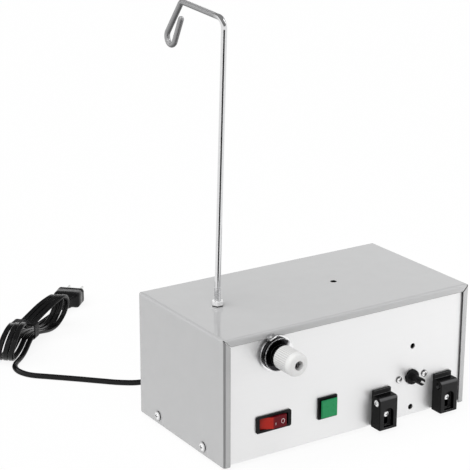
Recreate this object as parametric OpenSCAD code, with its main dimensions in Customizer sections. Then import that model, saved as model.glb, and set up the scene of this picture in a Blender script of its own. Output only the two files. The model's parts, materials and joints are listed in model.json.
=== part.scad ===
// Electric bobbin winder: a sheet metal case with a motor spindle, two sensor
// blocks, a thread tension unit, two switches and a tall thread pole.
// Millimetres. +Z is up, the front panel faces -Y, and the origin is the middle
// of the case on the surface that the rubber feet stand on.

/* [Case] */
// Outer width of the cover
case_w = 228; // [205:1:280]
// Outer depth of the cover, front to back
case_d = 124; // [112:1:160]
// Outer height of the cover
case_h = 100; // [92:1:130]
// Sheet thickness of the cover
cover_t = 1; // [0.8:0.1:1.4]
// Sheet thickness of the chassis
chassis_t = 1.5; // [1:0.1:2]
// Outside bend radius of the sheet metal
bend_r = 2.2; // [2.1:0.1:3]
// Width of the cover's folded returns, front and back
return_w = 5.5; // [4:0.5:7]
// Gap between the cover and the chassis
sheet_gap = 0.5; // [0.3:0.1:0.8]
// Height of the chassis side flanges
flange_h = 13; // [11:1:18]
// Height of the rubber feet
foot_h = 3; // [2:0.5:6]
// Radius of the rubber feet
foot_r = 7; // [5:0.5:9]
// Distance of the feet from the edges of the case
foot_inset = 18; // [12:1:24]

/* [Fasteners] */
// Shank radius of the cover screws
cover_screw_r = 2; // [1.5:0.1:2.2]
// Height of the cover screws above the case bottom
cover_screw_z = 6.5; // [6:0.5:8]
// Distance of the cover screws from the middle of each side
cover_screw_y = 33; // [20:1:40]
// Shank radius of the small machine screws
small_screw_r = 1.5; // [1.2:0.1:1.6]
// Clearance round a screw shank
screw_gap = 0.15; // [0.1:0.05:0.3]
// Clearance of threads and pressed seats
seat_gap = 0.02; // [0.01:0.01:0.03]

/* [Thread pole] */
// Radius of the pole's wire
pole_r = 2.25; // [1.8:0.05:2.4]
// Distance of the pole from the left edge of the case
pole_from_left = 35.5; // [28:0.5:45]
// Distance of the pole behind the middle of the case
pole_y = 3; // [-15:1:15]
// Straight height of the pole above the cover
pole_h = 210; // [150:5:260]
// Sideways lean of the pole in degrees
pole_lean = 1.7; // [0:0.1:2.5]
// Bend radius at the top of the pole
pole_bend_r = 8; // [6:0.5:12]
// Bend angle at the top of the pole
pole_bend_a = 86; // [80:1:92]
// Length of the level arm
arm_l = 49.5; // [35:0.5:65]
// Bend radius at the end of the arm
hook_bend_r = 5; // [4:0.5:8]
// Bend angle at the end of the arm
hook_bend_a = 57; // [45:1:65]
// Length of the hook's outer side
hook_l = 29; // [26:0.5:36]
// Inner turn radius of the hook
hook_turn_r = 6; // [5.2:0.1:7]
// Turn angle of the hook
hook_turn_a = 192; // [185:1:198]
// Length of the hook's free end
hook_end_l = 20; // [12:0.5:22]
// Distance of the spare hole from the right edge of the case
spare_hole_from_right = 86.5; // [60:0.5:100]
// Radius of the spare hole in the cover
spare_hole_r = 2.5; // [2:0.1:3]

/* [Tension unit] */
// Distance of the tension unit from the left edge of the case
tension_from_left = 44.5; // [38:0.5:54]
// Distance of the tension unit below the top of the case
tension_from_top = 18; // [16:0.5:20]
// Radius of the tension stud
stud_r = 3; // [2.5:0.1:3.2]
// Reach of the tension stud in front of the panel
stud_reach = 28; // [26:0.5:29]
// Radius of the base flange
tension_base_r = 14; // [13.5:0.5:17]
// Radius of the tension discs
disc_r = 12.6; // [11:0.1:13.5]
// Opening travel of the front disc
disc_travel = 0.8; // [0.4:0.1:1.2]
// Radius of the knob
knob_r = 9.1; // [8.8:0.1:10.5]
// Length of the knob
knob_l = 19.5; // [18:0.5:22]
// Gap from the panel to the knob
knob_back = 12; // [11.5:0.5:13]
// Count of the knob's flutes
knob_flutes = 36; // [24:1:44]
// Radius of the knob's sight hole
knob_hole_r = 3.6; // [3.4:0.1:4.2]

/* [Power switch] */
// Distance of the power switch from the left edge of the case
switch_from_left = 44; // [30:0.5:52]
// Height of both switches above the case bottom
switch_z = 27; // [20:0.5:40]
// Width of the power switch bezel
switch_w = 31; // [30:0.5:34]
// Height of the power switch bezel
switch_h = 13.2; // [13:0.2:16]
// Half length of the rocker
rocker_l = 11.2; // [10:0.1:11.4]
// Tilt of the rocker from level, in degrees
rocker_tilt = 12.5; // [8:0.5:13]

/* [Start button] */
// Distance of the start button from the left edge of the case
button_from_left = 93; // [82:0.5:100]
// Width of the start button bezel
button_w = 17.4; // [17:0.2:20]
// Width of the start button cap
button_cap_w = 14.4; // [13:0.2:15.2]
// Travel of the start button
button_travel = 2.4; // [1.5:0.1:2.6]

/* [Spindle and motor] */
// Distance of the spindle from the right edge of the case
spindle_from_right = 53.5; // [50:0.5:62]
// Height of the spindle above the case bottom
spindle_z = 33; // [31:0.5:42]
// Radius of the split spindle
spindle_r = 2.9; // [2.6:0.1:3.2]
// Reach of the spindle in front of the panel
spindle_reach = 14; // [12:0.5:18]
// Radius of the spindle collar
collar_r = 5.9; // [5.5:0.1:6.8]
// Radius of the motor can
motor_r = 18; // [17:0.5:19]
// Length of the motor can
motor_l = 46; // [40:1:52]
// Radius of the motor shaft
shaft_r = 1.6; // [1.5:0.05:1.8]
// Spacing of the motor screws
motor_screw_gap = 25; // [23:0.5:26]
// Distance of each guide hole from the spindle
guide_hole_gap = 25.6; // [24:0.2:28]
// Radius of the guide holes
guide_hole_r = 2.25; // [1.8:0.05:2.6]

/* [Sensor blocks] */
// Distance of each sensor block from the spindle
sensor_gap = 30.2; // [29.5:0.1:32]
// Width of a sensor block
sensor_w = 17; // [16:0.5:19]
// Depth of a sensor block
sensor_d = 11; // [10:0.5:13]
// Height of a sensor block
sensor_h = 26.4; // [25:0.2:30]
// Height of the sensor block's back plate
sensor_plate_h = 30.2; // [27:0.2:33]
// Thickness of the sensor block's back plate
sensor_plate_t = 2; // [1.5:0.1:3]
// Height of the clamp screws above the case bottom
clamp_z = 11.6; // [11:0.1:12]
// Upward travel of a sensor block
sensor_up = 7; // [4:0.1:7]
// Downward travel of a sensor block
sensor_down = 1.2; // [0.5:0.1:1.5]
// Height of the light beam above the case bottom
beam_z = 22; // [20.5:0.1:22.5]

/* [Electronics] */
// Width of the circuit board
board_w = 96; // [80:1:100]
// Depth of the circuit board
board_d = 56; // [50:1:60]
// Height of the board standoffs
standoff_h = 6; // [5:0.5:10]

/* [Mains cord] */
// Width of the flat cord
cord_w = 4.8; // [4.6:0.1:5]
// Thickness of the flat cord
cord_t = 2.8; // [2.6:0.1:3]
// Count of whole loops in the tied hank
hank_loops = 3; // [2:1:4]
// Least fold radius of the hank's loops
hank_r = 14.6; // [14.4:0.1:16]
// Half height of the hank at its tie
hank_waist = 4.5; // [4:0.1:6]
// Distance from loop to loop
hank_step = 5.5; // [5.5:0.1:6.2]

/* [Hidden] */
$fn = 48;

// Cutting tools run this far past the faces they cut
past = 1;
// Places that follow from the case
left_x = -case_w / 2;
right_x = case_w / 2;
top_z = foot_h + case_h;
front_y = -case_d / 2 + cover_t + sheet_gap;
back_y = -front_y;
chassis_w = case_w - 2 * (cover_t + sheet_gap);
chassis_d = case_d - 2 * (cover_t + sheet_gap);
chassis_h = case_h - cover_t - sheet_gap;
floor_z = foot_h + chassis_t;
pole_x = left_x + pole_from_left;
spare_hole_x = right_x - spare_hole_from_right;
tension_x = left_x + tension_from_left;
tension_z = top_z - tension_from_top;
switch_x = left_x + switch_from_left;
switch_top = foot_h + switch_z;
button_x = left_x + button_from_left;
spindle_x = right_x - spindle_from_right;
spindle_top = foot_h + spindle_z;

// Widths of the corner slits in the cover and the depth of their cut
slit_w = 0.7;
slit_d = bend_r + 0.3;
side_flange_l = 2 * cover_screw_y + 24;

// Screw heads, as shares of their shank radius
head_ratio = 1.85;
head_h_ratio = 1.15;

// Threaded foot of the pole, its nuts and washers
thread_over = 0.25;
thread_r = pole_r + thread_over;
joint_over = 0.03;
wire_joint_r = pole_r + joint_over;
thread_up = 14.5;
thread_down = 11;
pole_nut_r = 4.6;
pole_nut_h = 4;
pole_washer_r = 5;
lock_washer_r = 4.4;
pole_washer_t = 0.8;

// Stack of the tension unit, as distances in front of the panel
base_flange_at = cover_t + sheet_gap + 0.6;
base_flange_t = 1.2;
disc_t = 0.8;
disc_flare = 0.7;
disc_gap = 0.2;
rear_disc_at = base_flange_at + base_flange_t + disc_flare + disc_gap;
front_disc_at = rear_disc_at + disc_t + disc_gap;
presser_at = front_disc_at + disc_t + disc_gap;
presser_t = 1;
presser_r = knob_r - 0.9;
stud_gap = 0.08;
spring_wire = 1;
spring_turns = 4;
spring_r = knob_r - 2.4;
knob_recess = 4;
knob_recess_r = spring_r + spring_wire / 2 + 0.5;
knob_edge_r = 3.5;
knob_fluted_l = knob_l - knob_edge_r - 1.5;
knob_bush_l = 8;

// Rocker switch, as distances in front of the panel
bezel_t = 1.3;
rocker_pivot = -4;
rocker_ridge = 3.4;
rocker_slope = 12;
rocker_half_h = (switch_h - 4) / 2;
rocker_pin_r = 1.2;
switch_gap = 0.2;
switch_body_w = switch_w - 4;
switch_body_h = switch_h - 2;
switch_depth = 16;
rocker_room = rocker_l + 1.5;
fit_gap = 0.05;

// Start button, as distances in front of the panel
button_bezel_t = 1.4;
button_floor = 0.4;
button_plate_back = button_floor + button_travel + 0.1;
button_plate_t = 1.2;
button_barrel_r = 7.9;
button_stem_r = 5;
button_depth = 20;
button_stem_l = 12;
button_spring_r = 3.2;
button_spring_wire = 0.7;

// Motor and spindle, as distances in front of the panel
motor_face = -chassis_t;
can_t = 1.5;
can_front_t = 2;
end_cap_t = 4;
bearing_r = 4;
bearing_l = 4;
magnet_t = 2.2;
magnet_gap = 0.8;
armature_r = motor_r - can_t - magnet_t - magnet_gap;
armature_room = 10;
armature_l = motor_l - 2 * armature_room;
armature_slots = 5;
collar_t = 2.2;
collar_back = -chassis_t + 0.3;
shaft_end = 5;
spindle_slot_w = 1.6;
spindle_slot_turn = -31;
spindle_slot_l = 5;
spindle_tip = 0.6;

// Sensor blocks
left_sensor_x = spindle_x - sensor_gap;
right_sensor_x = spindle_x + sensor_gap;
slot_r = small_screw_r + 0.2;
slot_low = clamp_z - sensor_up;
slot_high = clamp_z + sensor_down;
pocket_r = small_screw_r * head_ratio + 1.9;
pocket_floor = 7.5;
pocket_low = slot_low - small_screw_r * head_ratio - 0.2;
sensor_round = 3;
sensor_edge_r = 0.8;
plate_corner_r = 0.4;
beam_d = sensor_d - 4;
light_r = 2.5;
light_l = 8;
side_screw_l = 6;
nut_h = 2.4;

// Electronics on the chassis floor
board_x = -30;
board_y = 18;
board_t = 1.6;
board_z = floor_z + standoff_h;
board_inset = 4;
standoff_r = 3;
transformer_at = 22;
transformer_w = 38;
transformer_d = 17;
transformer_h = 32;
winding_w = 24;
winding_h = 18;
winding_d = 31;
winding_round = 4;

// Mains cord, gland, hank and plug
gland_x = -20;
gland_z = 14;
gland_reach = 15.5;
gland_hole_r = 5.5;
tie_w = 9;
tie_t = 1;
tie_gap = 0.7;
tie_seat = 0.08;
hank_at = [-124.8, 248];
hank_turn = 41;
hank_bend = 6;
hank_arc = 16;
hank_run = 39.5;
hank_sag = 3.4;
hank_grow = 0.35;
hank_lean = 0.29;
hank_z = cord_t / 2 + 0.1;
run_rings = 8;
fold_rings = 7;
plug_turn = 46;
plug_place = [-68.1, 293.1];
plug_neck_l = 17;
plug_neck_w = 9;
plug_neck_h = 8;
plug_head_l = 16;
plug_head_w = 25;
plug_head_h = 14;
plug_axis_z = plug_head_h / 2;
blade_gap = 12.7;
blade_w = 6.3;
blade_t = 1.5;
blade_l = 16;

// The cord's way from the gland over the floor to the hank: it stands on edge, and
// turns flat over its last points
cord_route = [[-20, 81, 14], [-21, 90, 12.6], [-26, 99, 9.6], [-35, 106, 6.2], [-48, 110, 3.6],
  [-62, 111, 2.45], [-76, 111, 2.45], [-88.5, 113, 2.45], [-100.5, 121, 2.45], [-112.5, 132.5, 2.45],
  [-125, 145, 2.45], [-137, 156.5, 2.45], [-147, 166, 2.45], [-152.5, 171.2, 2.45], [-156.2, 176.2, 2.4],
  [-158.8, 182, 2.3], [-159.9, 188.4, 2.2], [-159.3, 194.9, 2.05], [-157.3, 200.6, 1.85]];
twist_points = 8;

// Vectors and paths
function unit(v) = v / norm(v);
function turned(a, p) = [p[0] * cos(a) - p[1] * sin(a), p[0] * sin(a) + p[1] * cos(a), p[2]];
function smooth(t) = t * t * (3 - 2 * t);
function run_length(path) = len(path) < 2 ? 0
  : [for (i = 0, s = 0; i < len(path); s = s + (i + 1 < len(path) ? norm(path[i + 1] - path[i]) : 0),
      i = i + 1) s][len(path) - 1];
function tangent(path, i) =
  unit(path[min(i + 1, len(path) - 1)] - path[max(i - 1, 0)]);

// Loops of the hank stand upright, with u along the hank, v up from the lowest
// strand and w across: each loop goes out low, round the far fold, back high, where
// it steps across to the next loop, and round the near fold
waist_v = hank_r - hank_sag;
function pinch(u) = pow(cos(90 * min(1, abs(u) / hank_run)), 2);
function fold_r(n) = hank_r + hank_grow * (hank_loops - 1 - n);
function low_v(u) = (waist_v - hank_waist) * pinch(u);
function high_v(n, u) = 2 * fold_r(n) + (waist_v + hank_waist - 2 * fold_r(n)) * pinch(u);
function level_w(level) = hank_step * (level - hank_loops / 2);
function hank_loop(n, rings) = let (runs = run_rings * rings, folds = fold_rings * rings,
    high = hank_loops - n, r = fold_r(n)) concat(
  [for (k = [0:runs - 1]) let (u = hank_run * (2 * k / runs - 1)) [u, low_v(u), level_w(high)]],
  [for (k = [0:folds - 1]) let (a = 180 * k / folds - 90)
    [hank_run + r * cos(a), r + r * sin(a), level_w(high)]],
  [for (k = [0:runs - 1]) let (t = k / runs, u = hank_run * (1 - 2 * t))
    [u, high_v(n, u), level_w(high - smooth(t))]],
  [for (k = [0:folds - 1]) let (a = 180 * k / folds + 90)
    [-hank_run + r * cos(a), r + r * sin(a), level_w(high - 1)]]);
function hank_lead_in() = [for (s = [cord_w, cord_w / 2]) [-hank_run - s, 0, level_w(hank_loops)]];
function hank_last_run(rings) = [for (k = [0:run_rings * rings])
  let (u = hank_run * (2 * k / (run_rings * rings) - 1)) [u, low_v(u), level_w(0)]];
function hank_loops_path(rings) =
  [for (n = [0:hank_loops - 1]) each hank_loop(n, rings)];

// The hank's axis on the floor bends at the tie, and its loops lean towards the
// front away from the tie
function heading(u) = hank_turn - hank_bend * max(-1, min(1, u / hank_arc));
function across(a) = [sin(a), -cos(a), 0];
function axis_point(u) = let (k = max(-hank_arc, min(hank_arc, u)), a = hank_bend * k / hank_arc,
    r = hank_arc * 180 / PI / hank_bend)
  turned(hank_turn, [r * sin(a) + (u - k) * cos(a), r * (cos(a) - 1) - (u - k) * sin(a), 0]);
function lean(u) = hank_lean * smooth(min(1, abs(u) / hank_run));
function on_hank(p) = [hank_at[0], hank_at[1], hank_z + p[1]] + axis_point(p[0])
  + (p[2] + lean(p[0]) * p[1]) * across(heading(p[0]));

// Tail from the last run to the plug, on a curve that meets both directions
function level_dir(a) = [cos(a), sin(a), 0];
tail_start = on_hank([hank_run, 0, level_w(0)]);
tail_dir = level_dir(heading(hank_run));
plug_at = [plug_place[0], plug_place[1], plug_axis_z];
plug_dir = level_dir(plug_turn);
tail_l = norm(plug_at - tail_start);
function tail_point(t) = smooth(1 - t) * tail_start + smooth(t) * plug_at
  + tail_l * t * (1 - t) * ((1 - t) * tail_dir - t * plug_dir);
function tail_across(t) = let (d = tail_point(t + 0.01) - tail_point(t - 0.01)) unit([d[1], -d[0], 0]);
tail_steps = [0.2, 0.4, 0.6, 0.8];
hank_uvw = concat(hank_lead_in(), hank_loops_path(1), hank_last_run(1));
hank_path = concat([for (p = hank_uvw) on_hank(p)], [for (t = tail_steps) tail_point(t)],
  [plug_at + cord_w * plug_dir / 2, plug_at + cord_w * plug_dir]);
hank_across = concat([for (p = hank_uvw) across(heading(p[0]))], [for (t = tail_steps) tail_across(t)],
  [across(plug_turn), across(plug_turn)]);
lead_dir = unit(hank_path[1] - hank_path[0]);
free_path = concat([[gland_x, back_y + gland_reach, gland_z]], cord_route,
  [hank_path[0] - cord_w * lead_dir, hank_path[0]]);

// Direction of the flat section's width: upright along the free cord, then turning
// to lie across the hank
free_across = let (last = len(free_path) - 1, turned_flat = hank_across[0])
  [for (i = [0:last]) let (s = smooth(max(0, 1 - (last - i) / twist_points)))
    unit((1 - s) * [0, 0, 1] + s * turned_flat)];
function thin_side(path, wide) =
  [for (i = [0:len(path) - 1]) unit(cross(wide[i], tangent(path, i)))];

// Least gap between two turns of the hank, from u, v and w
function section_gap(p, q) = max(abs(p[2] - q[2]) - cord_w, norm([p[0] - q[0], p[1] - q[1]]) - cord_t);
function least_gap(path, apart) = min([for (i = [0:len(path) - 1 - apart])
  min([for (j = [i + apart:len(path) - 1]) section_gap(path[i], path[j])])]);

// Least distance between points of a path that lie this many rings apart or more
function point_gap(path, apart) = min([for (i = [0:len(path) - 1 - apart])
  min([for (j = [i + apart:len(path) - 1]) norm(path[i] - path[j])])]);

// A tube of flat or round section swept along a path
module tube(path, side, half_w, half_t, sides) {
  last = len(path) - 1;
  points = [for (i = [0:last]) let (up = cross(tangent(path, i), side[i]))
    for (k = [0:sides - 1]) path[i] + side[i] * half_t * cos(360 * k / sides)
      + up * half_w * sin(360 * k / sides)];
  walls = [for (i = [0:last - 1], k = [0:sides - 1])
    let (a = i * sides + k, b = i * sides + (k + 1) % sides)
    each [[a, a + sides, b + sides], [a, b + sides, b]]];
  ends = [for (k = [1:sides - 2]) each [[0, k, k + 1],
    [last * sides, last * sides + k + 1, last * sides + k]]];
  polyhedron(points = points, faces = concat(walls, ends));
}

// A coil spring along +Z
module coil_spring(radius, wire, turns, height) {
  turn_rings = 8;
  rings = turn_rings * turns;
  rise = height - wire;
  path = [for (i = [0:rings]) let (a = 360 * i / turn_rings)
    [radius * cos(a), radius * sin(a), wire / 2 + rise * i / rings]];
  side = [for (i = [0:rings]) let (a = 360 * i / turn_rings) [-cos(a), -sin(a), 0]];
  echo(str("spring least gap ", point_gap(path, turn_rings - 2) - wire, " mm"));
  tube(path, side, wire / 2, wire / 2, 6);
}

// Rounded rectangle, centred
module round_rect(w, h, r) {
  square([w - 2 * r, h], center = true);
  square([w, h - 2 * r], center = true);
  for (sx = [-1, 1], sy = [-1, 1])
    translate([sx * (w / 2 - r), sy * (h / 2 - r)]) circle(r);
}

// Block on the XY plane with its top and upright edges rounded
module round_block(w, d, h, r) {
  intersection() {
    linear_extrude(h) round_rect(w, d, r);
    rotate([90, 0, 0]) linear_extrude(d, center = true) round_rect(w, 2 * h, r);
    rotate([90, 0, 90]) linear_extrude(w, center = true) round_rect(d, 2 * h, r);
  }
}

// Folded channel along Z: a floor of the given width with two upright walls
module channel(w, h, t, r, l) {
  linear_extrude(l, center = true) difference() {
    intersection() {
      translate([0, h]) round_rect(w, 2 * h, r);
      translate([-w / 2, 0]) square([w, h]);
    }
    translate([0, h + t]) round_rect(w - 2 * t, 2 * h, r - t);
  }
}

// Places on the front panel: +Z points out of the panel and +Y points up
module on_front(x, z) {
  translate([x, front_y, z]) rotate([90, 0, 0]) children();
}

// Pan head screw: the head stands on z = 0 and the shank runs down
module pan_screw(r, l) {
  head_r = r * head_ratio;
  head_h = r * head_h_ratio;
  dome_r = head_r * 1.5;
  slot_w = r * 0.32;
  difference() {
    union() {
      intersection() {
        cylinder(h = head_h, r = head_r);
        translate([0, 0, head_h - dome_r]) sphere(dome_r);
      }
      translate([0, 0, -l]) cylinder(h = l + head_h / 2, r = r);
    }
    for (a = [0, 90]) rotate(a)
      translate([-head_r * 0.5, -slot_w / 2, head_h * 0.55]) cube([head_r, slot_w, head_h]);
  }
}

// Hexagon nut on z = 0, over a thread
module hex_nut(r, h, bore_r) {
  difference() {
    cylinder(h = h, r = r, $fn = 6);
    translate([0, 0, -past]) cylinder(h = h + 2 * past, r = bore_r);
  }
}

// Bent wire: from +Z towards +Y through straight lengths and bends, with a ball
// at each end of a straight length that joins it to the next bend
module wire_bend(r, a) {
  translate([0, r, 0]) rotate([90, 0, -90]) rotate_extrude(angle = a) translate([r, 0]) circle(pole_r);
  translate([0, r - r * cos(a), r * sin(a)]) rotate([-a, 0, 0]) children();
}
module wire_run(l) {
  sphere(wire_joint_r);
  cylinder(h = l, r = pole_r);
  translate([0, 0, l]) sphere(wire_joint_r);
  translate([0, 0, l]) children();
}

module cover() {
  color([0.76, 0.77, 0.78]) translate([0, 0, foot_h]) difference() {
    round_block(case_w, case_d, case_h, bend_r);
    translate([0, 0, -past])
      round_block(case_w - 2 * cover_t, case_d - 2 * cover_t, case_h - cover_t + past, bend_r - cover_t);
    translate([return_w - case_w / 2, -case_d / 2 - past, -past])
      cube([case_w - 2 * return_w, case_d + 2 * past, case_h - return_w + past]);
    for (sx = [-1, 1], sy = [-1, 1])
      translate([sx * (case_w / 2 - return_w), sy * case_d / 2, case_h - return_w]) rotate([0, sx * 45, 0])
        translate([-slit_w / 2, -slit_d, -slit_w]) cube([slit_w, 2 * slit_d, 2 * return_w]);
    translate([pole_x, pole_y, case_h - 2 * cover_t]) cylinder(h = 3 * cover_t, r = thread_r + screw_gap);
    translate([spare_hole_x, 0, case_h - 2 * cover_t]) cylinder(h = 3 * cover_t, r = spare_hole_r);
    for (sx = [-1, 1], sy = [-1, 1])
      translate([sx * case_w / 2, sy * cover_screw_y, cover_screw_z]) rotate([0, 90, 0])
        cylinder(h = 4 * cover_t, r = cover_screw_r + screw_gap, center = true);
  }
}

module chassis() {
  color([0.93, 0.93, 0.94]) difference() {
    translate([0, 0, foot_h]) union() {
      rotate([90, 0, 90]) channel(chassis_d, chassis_h, chassis_t, bend_r, chassis_w);
      rotate([90, 0, 0]) channel(chassis_w, flange_h, chassis_t, bend_r, side_flange_l);
    }
    for (sx = [-1, 1], sy = [-1, 1])
      translate([sx * chassis_w / 2, sy * cover_screw_y, foot_h + cover_screw_z]) rotate([0, 90, 0])
        cylinder(h = 4 * chassis_t, r = cover_screw_r + seat_gap, center = true);
    on_front(spindle_x, spindle_top) translate([0, 0, -2 * chassis_t]) {
      cylinder(h = 3 * chassis_t, r = collar_r + 0.4);
      for (s = [-1, 1]) {
        translate([s * motor_screw_gap / 2, 0, 0]) cylinder(h = 3 * chassis_t, r = small_screw_r + screw_gap);
        translate([0, s * guide_hole_gap, 0]) cylinder(h = 3 * chassis_t, r = guide_hole_r);
        translate([s * sensor_gap, clamp_z - spindle_z, 0])
          cylinder(h = 3 * chassis_t, r = small_screw_r + screw_gap);
      }
    }
    on_front(tension_x, tension_z) translate([0, 0, -2 * chassis_t])
      cylinder(h = 3 * chassis_t, r = stud_r + screw_gap);
    on_front(switch_x, switch_top) cube([switch_body_w + 2 * switch_gap, switch_body_h + 2 * switch_gap,
      4 * chassis_t], center = true);
    on_front(button_x, switch_top) translate([0, 0, -2 * chassis_t])
      cylinder(h = 3 * chassis_t, r = button_barrel_r + switch_gap);
    translate([gland_x, back_y + chassis_t, gland_z]) rotate([90, 0, 0])
      cylinder(h = 3 * chassis_t, r = gland_hole_r + switch_gap);
    at_standoffs() translate([0, 0, foot_h - past])
      cylinder(h = chassis_t + 2 * past, r = small_screw_r + screw_gap);
  }
}

module cover_screws() {
  color([0.8, 0.8, 0.82]) for (sx = [-1, 1], sy = [-1, 1])
    translate([sx * case_w / 2, sy * cover_screw_y, foot_h + cover_screw_z]) rotate([0, sx * 90, 0])
      pan_screw(cover_screw_r, cover_t + sheet_gap + chassis_t + 3);
}

module rubber_feet() {
  color([0.1, 0.1, 0.1]) for (sx = [-1, 1], sy = [-1, 1])
    translate([sx * (case_w / 2 - foot_inset), sy * (case_d / 2 - foot_inset), 0])
      cylinder(h = foot_h, r1 = foot_r - 1, r2 = foot_r);
}

module thread_pole() {
  color([0.85, 0.86, 0.88]) translate([pole_x, pole_y, top_z]) {
    translate([0, 0, -thread_down]) cylinder(h = thread_down + thread_up, r = thread_r);
    translate([0, 0, thread_up - thread_r]) rotate([0, pole_lean, 0])
      wire_run(pole_h - thread_up + thread_r) wire_bend(pole_bend_r, pole_bend_a)
      wire_run(arm_l) wire_bend(hook_bend_r, hook_bend_a)
      wire_run(hook_l) wire_bend(hook_turn_r, hook_turn_a)
      wire_run(hook_end_l);
  }
}

module pole_nuts() {
  color([0.8, 0.8, 0.82]) translate([pole_x, pole_y, 0]) {
    for (z = [top_z, top_z - cover_t - 2 * pole_washer_t - seat_gap - pole_nut_h]) translate([0, 0, z])
      hex_nut(pole_nut_r, pole_nut_h, thread_r + seat_gap);
  }
}

// Flat washer and lock washer under the cover
module pole_washers() {
  color([0.75, 0.75, 0.77]) translate([pole_x, pole_y, top_z - cover_t])
    for (w = [[pole_washer_t, pole_washer_r], [2 * pole_washer_t + seat_gap, lock_washer_r]])
      translate([0, 0, -w[0]]) difference() {
        cylinder(h = pole_washer_t, r = w[1]);
        translate([0, 0, -past]) cylinder(h = pole_washer_t + 2 * past, r = thread_r + screw_gap);
      }
}

// Base of the tension unit: a spacer, a flange and a folded thread guide ear
module tension_base() {
  ear_a = 112;
  ear_w = 6;
  ear_r = tension_base_r + 2;
  ear_reach = 5;
  ear_hole_r = 1.2;
  color([0.85, 0.86, 0.88]) on_front(tension_x, tension_z) difference() {
    union() {
      cylinder(h = base_flange_at + base_flange_t, r = tension_base_r - 6.5);
      translate([0, 0, base_flange_at]) cylinder(h = base_flange_t, r = tension_base_r);
      rotate(ear_a) translate([tension_base_r - 3, -ear_w / 2, base_flange_at])
        cube([ear_r - tension_base_r + 3, ear_w, base_flange_t]);
      rotate(ear_a) translate([ear_r - base_flange_t, -ear_w / 2, base_flange_at])
        cube([base_flange_t, ear_w, ear_reach]);
    }
    translate([0, 0, -past]) cylinder(h = base_flange_at + base_flange_t + 2 * past, r = stud_r + stud_gap);
    rotate(ear_a) translate([ear_r - base_flange_t - past, 0, base_flange_at + ear_reach / 2 + 0.6])
      rotate([0, 90, 0]) cylinder(h = base_flange_t + 2 * past, r = ear_hole_r);
  }
}

module tension_stud() {
  slot_w = 1.4;
  slot_l = 14;
  color([0.82, 0.83, 0.85]) on_front(tension_x, tension_z) difference() {
    translate([0, 0, -chassis_t - 5]) cylinder(h = stud_reach + chassis_t + 5, r = stud_r);
    translate([-slot_w / 2, -stud_r - past, stud_reach - slot_l])
      cube([slot_w, 2 * (stud_r + past), slot_l + past]);
  }
}

module tension_stud_nut() {
  color([0.8, 0.8, 0.82]) on_front(tension_x, tension_z) translate([0, 0, -chassis_t - 4])
    hex_nut(stud_r * 1.9, 4, stud_r + seat_gap);
}

// Dished disc on z = 0 whose rim flares up
module dished_disc() {
  flat_r = disc_r - 4.5;
  bore_r = stud_r + stud_gap;
  rotate_extrude() polygon([[bore_r, 0], [flat_r, 0], [disc_r - 0.6, disc_flare], [disc_r, disc_flare + 0.3],
    [disc_r, disc_flare + disc_t], [disc_r - 0.8, disc_flare + disc_t], [flat_r - 0.4, disc_t],
    [bore_r, disc_t]]);
}

module rear_disc() {
  color([0.88, 0.88, 0.9]) on_front(tension_x, tension_z) translate([0, 0, rear_disc_at + disc_t])
    mirror([0, 0, 1]) dished_disc();
}

module front_disc() {
  color([0.88, 0.88, 0.9]) on_front(tension_x, tension_z) translate([0, 0, front_disc_at]) dished_disc();
}

module disc_presser() {
  color([0.5, 0.5, 0.52]) on_front(tension_x, tension_z) translate([0, 0, presser_at]) difference() {
    union() {
      cylinder(h = presser_t / 2, r1 = presser_r - 1, r2 = presser_r);
      translate([0, 0, presser_t / 2]) cylinder(h = presser_t / 2, r = presser_r);
    }
    translate([0, 0, -past]) cylinder(h = presser_t + 2 * past, r = stud_r + stud_gap);
  }
}

module tension_spring() {
  seat = presser_at + presser_t;
  color([0.3, 0.3, 0.32]) on_front(tension_x, tension_z) translate([0, 0, seat])
    coil_spring(spring_r, spring_wire, spring_turns, knob_back + knob_recess - seat);
}

// Fluted knob with a rounded end, a spring recess and a sight hole
module tension_knob() {
  flute_r = PI * knob_r / knob_flutes * 0.55;
  color([0.93, 0.93, 0.92]) on_front(tension_x, tension_z) translate([0, 0, knob_back]) difference() {
    rotate_extrude() {
      square([knob_r, knob_l - knob_edge_r]);
      square([knob_r - knob_edge_r, knob_l]);
      intersection() {
        translate([knob_r - knob_edge_r, knob_l - knob_edge_r]) circle(knob_edge_r);
        square([knob_r, knob_l]);
      }
    }
    for (i = [0:knob_flutes - 1]) rotate(360 * i / knob_flutes)
      translate([knob_r + flute_r * 0.45, 0, -past]) cylinder(h = knob_fluted_l + past, r = flute_r, $fn = 16);
    translate([0, 0, -past]) cylinder(h = knob_recess + past, r = knob_recess_r);
    translate([0, 0, -past]) cylinder(h = knob_l + 2 * past, r = stud_r + fit_gap);
    translate([0, 0, knob_recess + knob_bush_l]) cylinder(h = knob_l, r = knob_hole_r);
  }
}

module power_switch_body() {
  pin_room = rocker_pin_r + fit_gap;
  color([0.12, 0.12, 0.13]) on_front(switch_x, switch_top) difference() {
    union() {
      linear_extrude(bezel_t) round_rect(switch_w, switch_h, 1.5);
      translate([0, 0, -switch_depth / 2])
        cube([switch_body_w, switch_body_h, switch_depth], center = true);
    }
    translate([-rocker_room, -rocker_half_h - switch_gap, 2 - switch_depth])
      cube([2 * rocker_room, 2 * (rocker_half_h + switch_gap), switch_depth + bezel_t]);
    translate([0, 0, rocker_pivot]) rotate([90, 0, 0])
      cylinder(h = switch_body_h + 2 * past, r = pin_room, center = true);
  }
}

module power_switch_tabs() {
  tab = [4.8, 0.8, 8];
  color([0.75, 0.73, 0.65]) on_front(switch_x, switch_top)
    for (s = [-1, 0, 1]) translate([s * switch_body_w * 0.33 - tab[1] / 2, -tab[0] / 2, -switch_depth - tab[2]])
      cube([tab[1], tab[0], tab[2]]);
}

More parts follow.
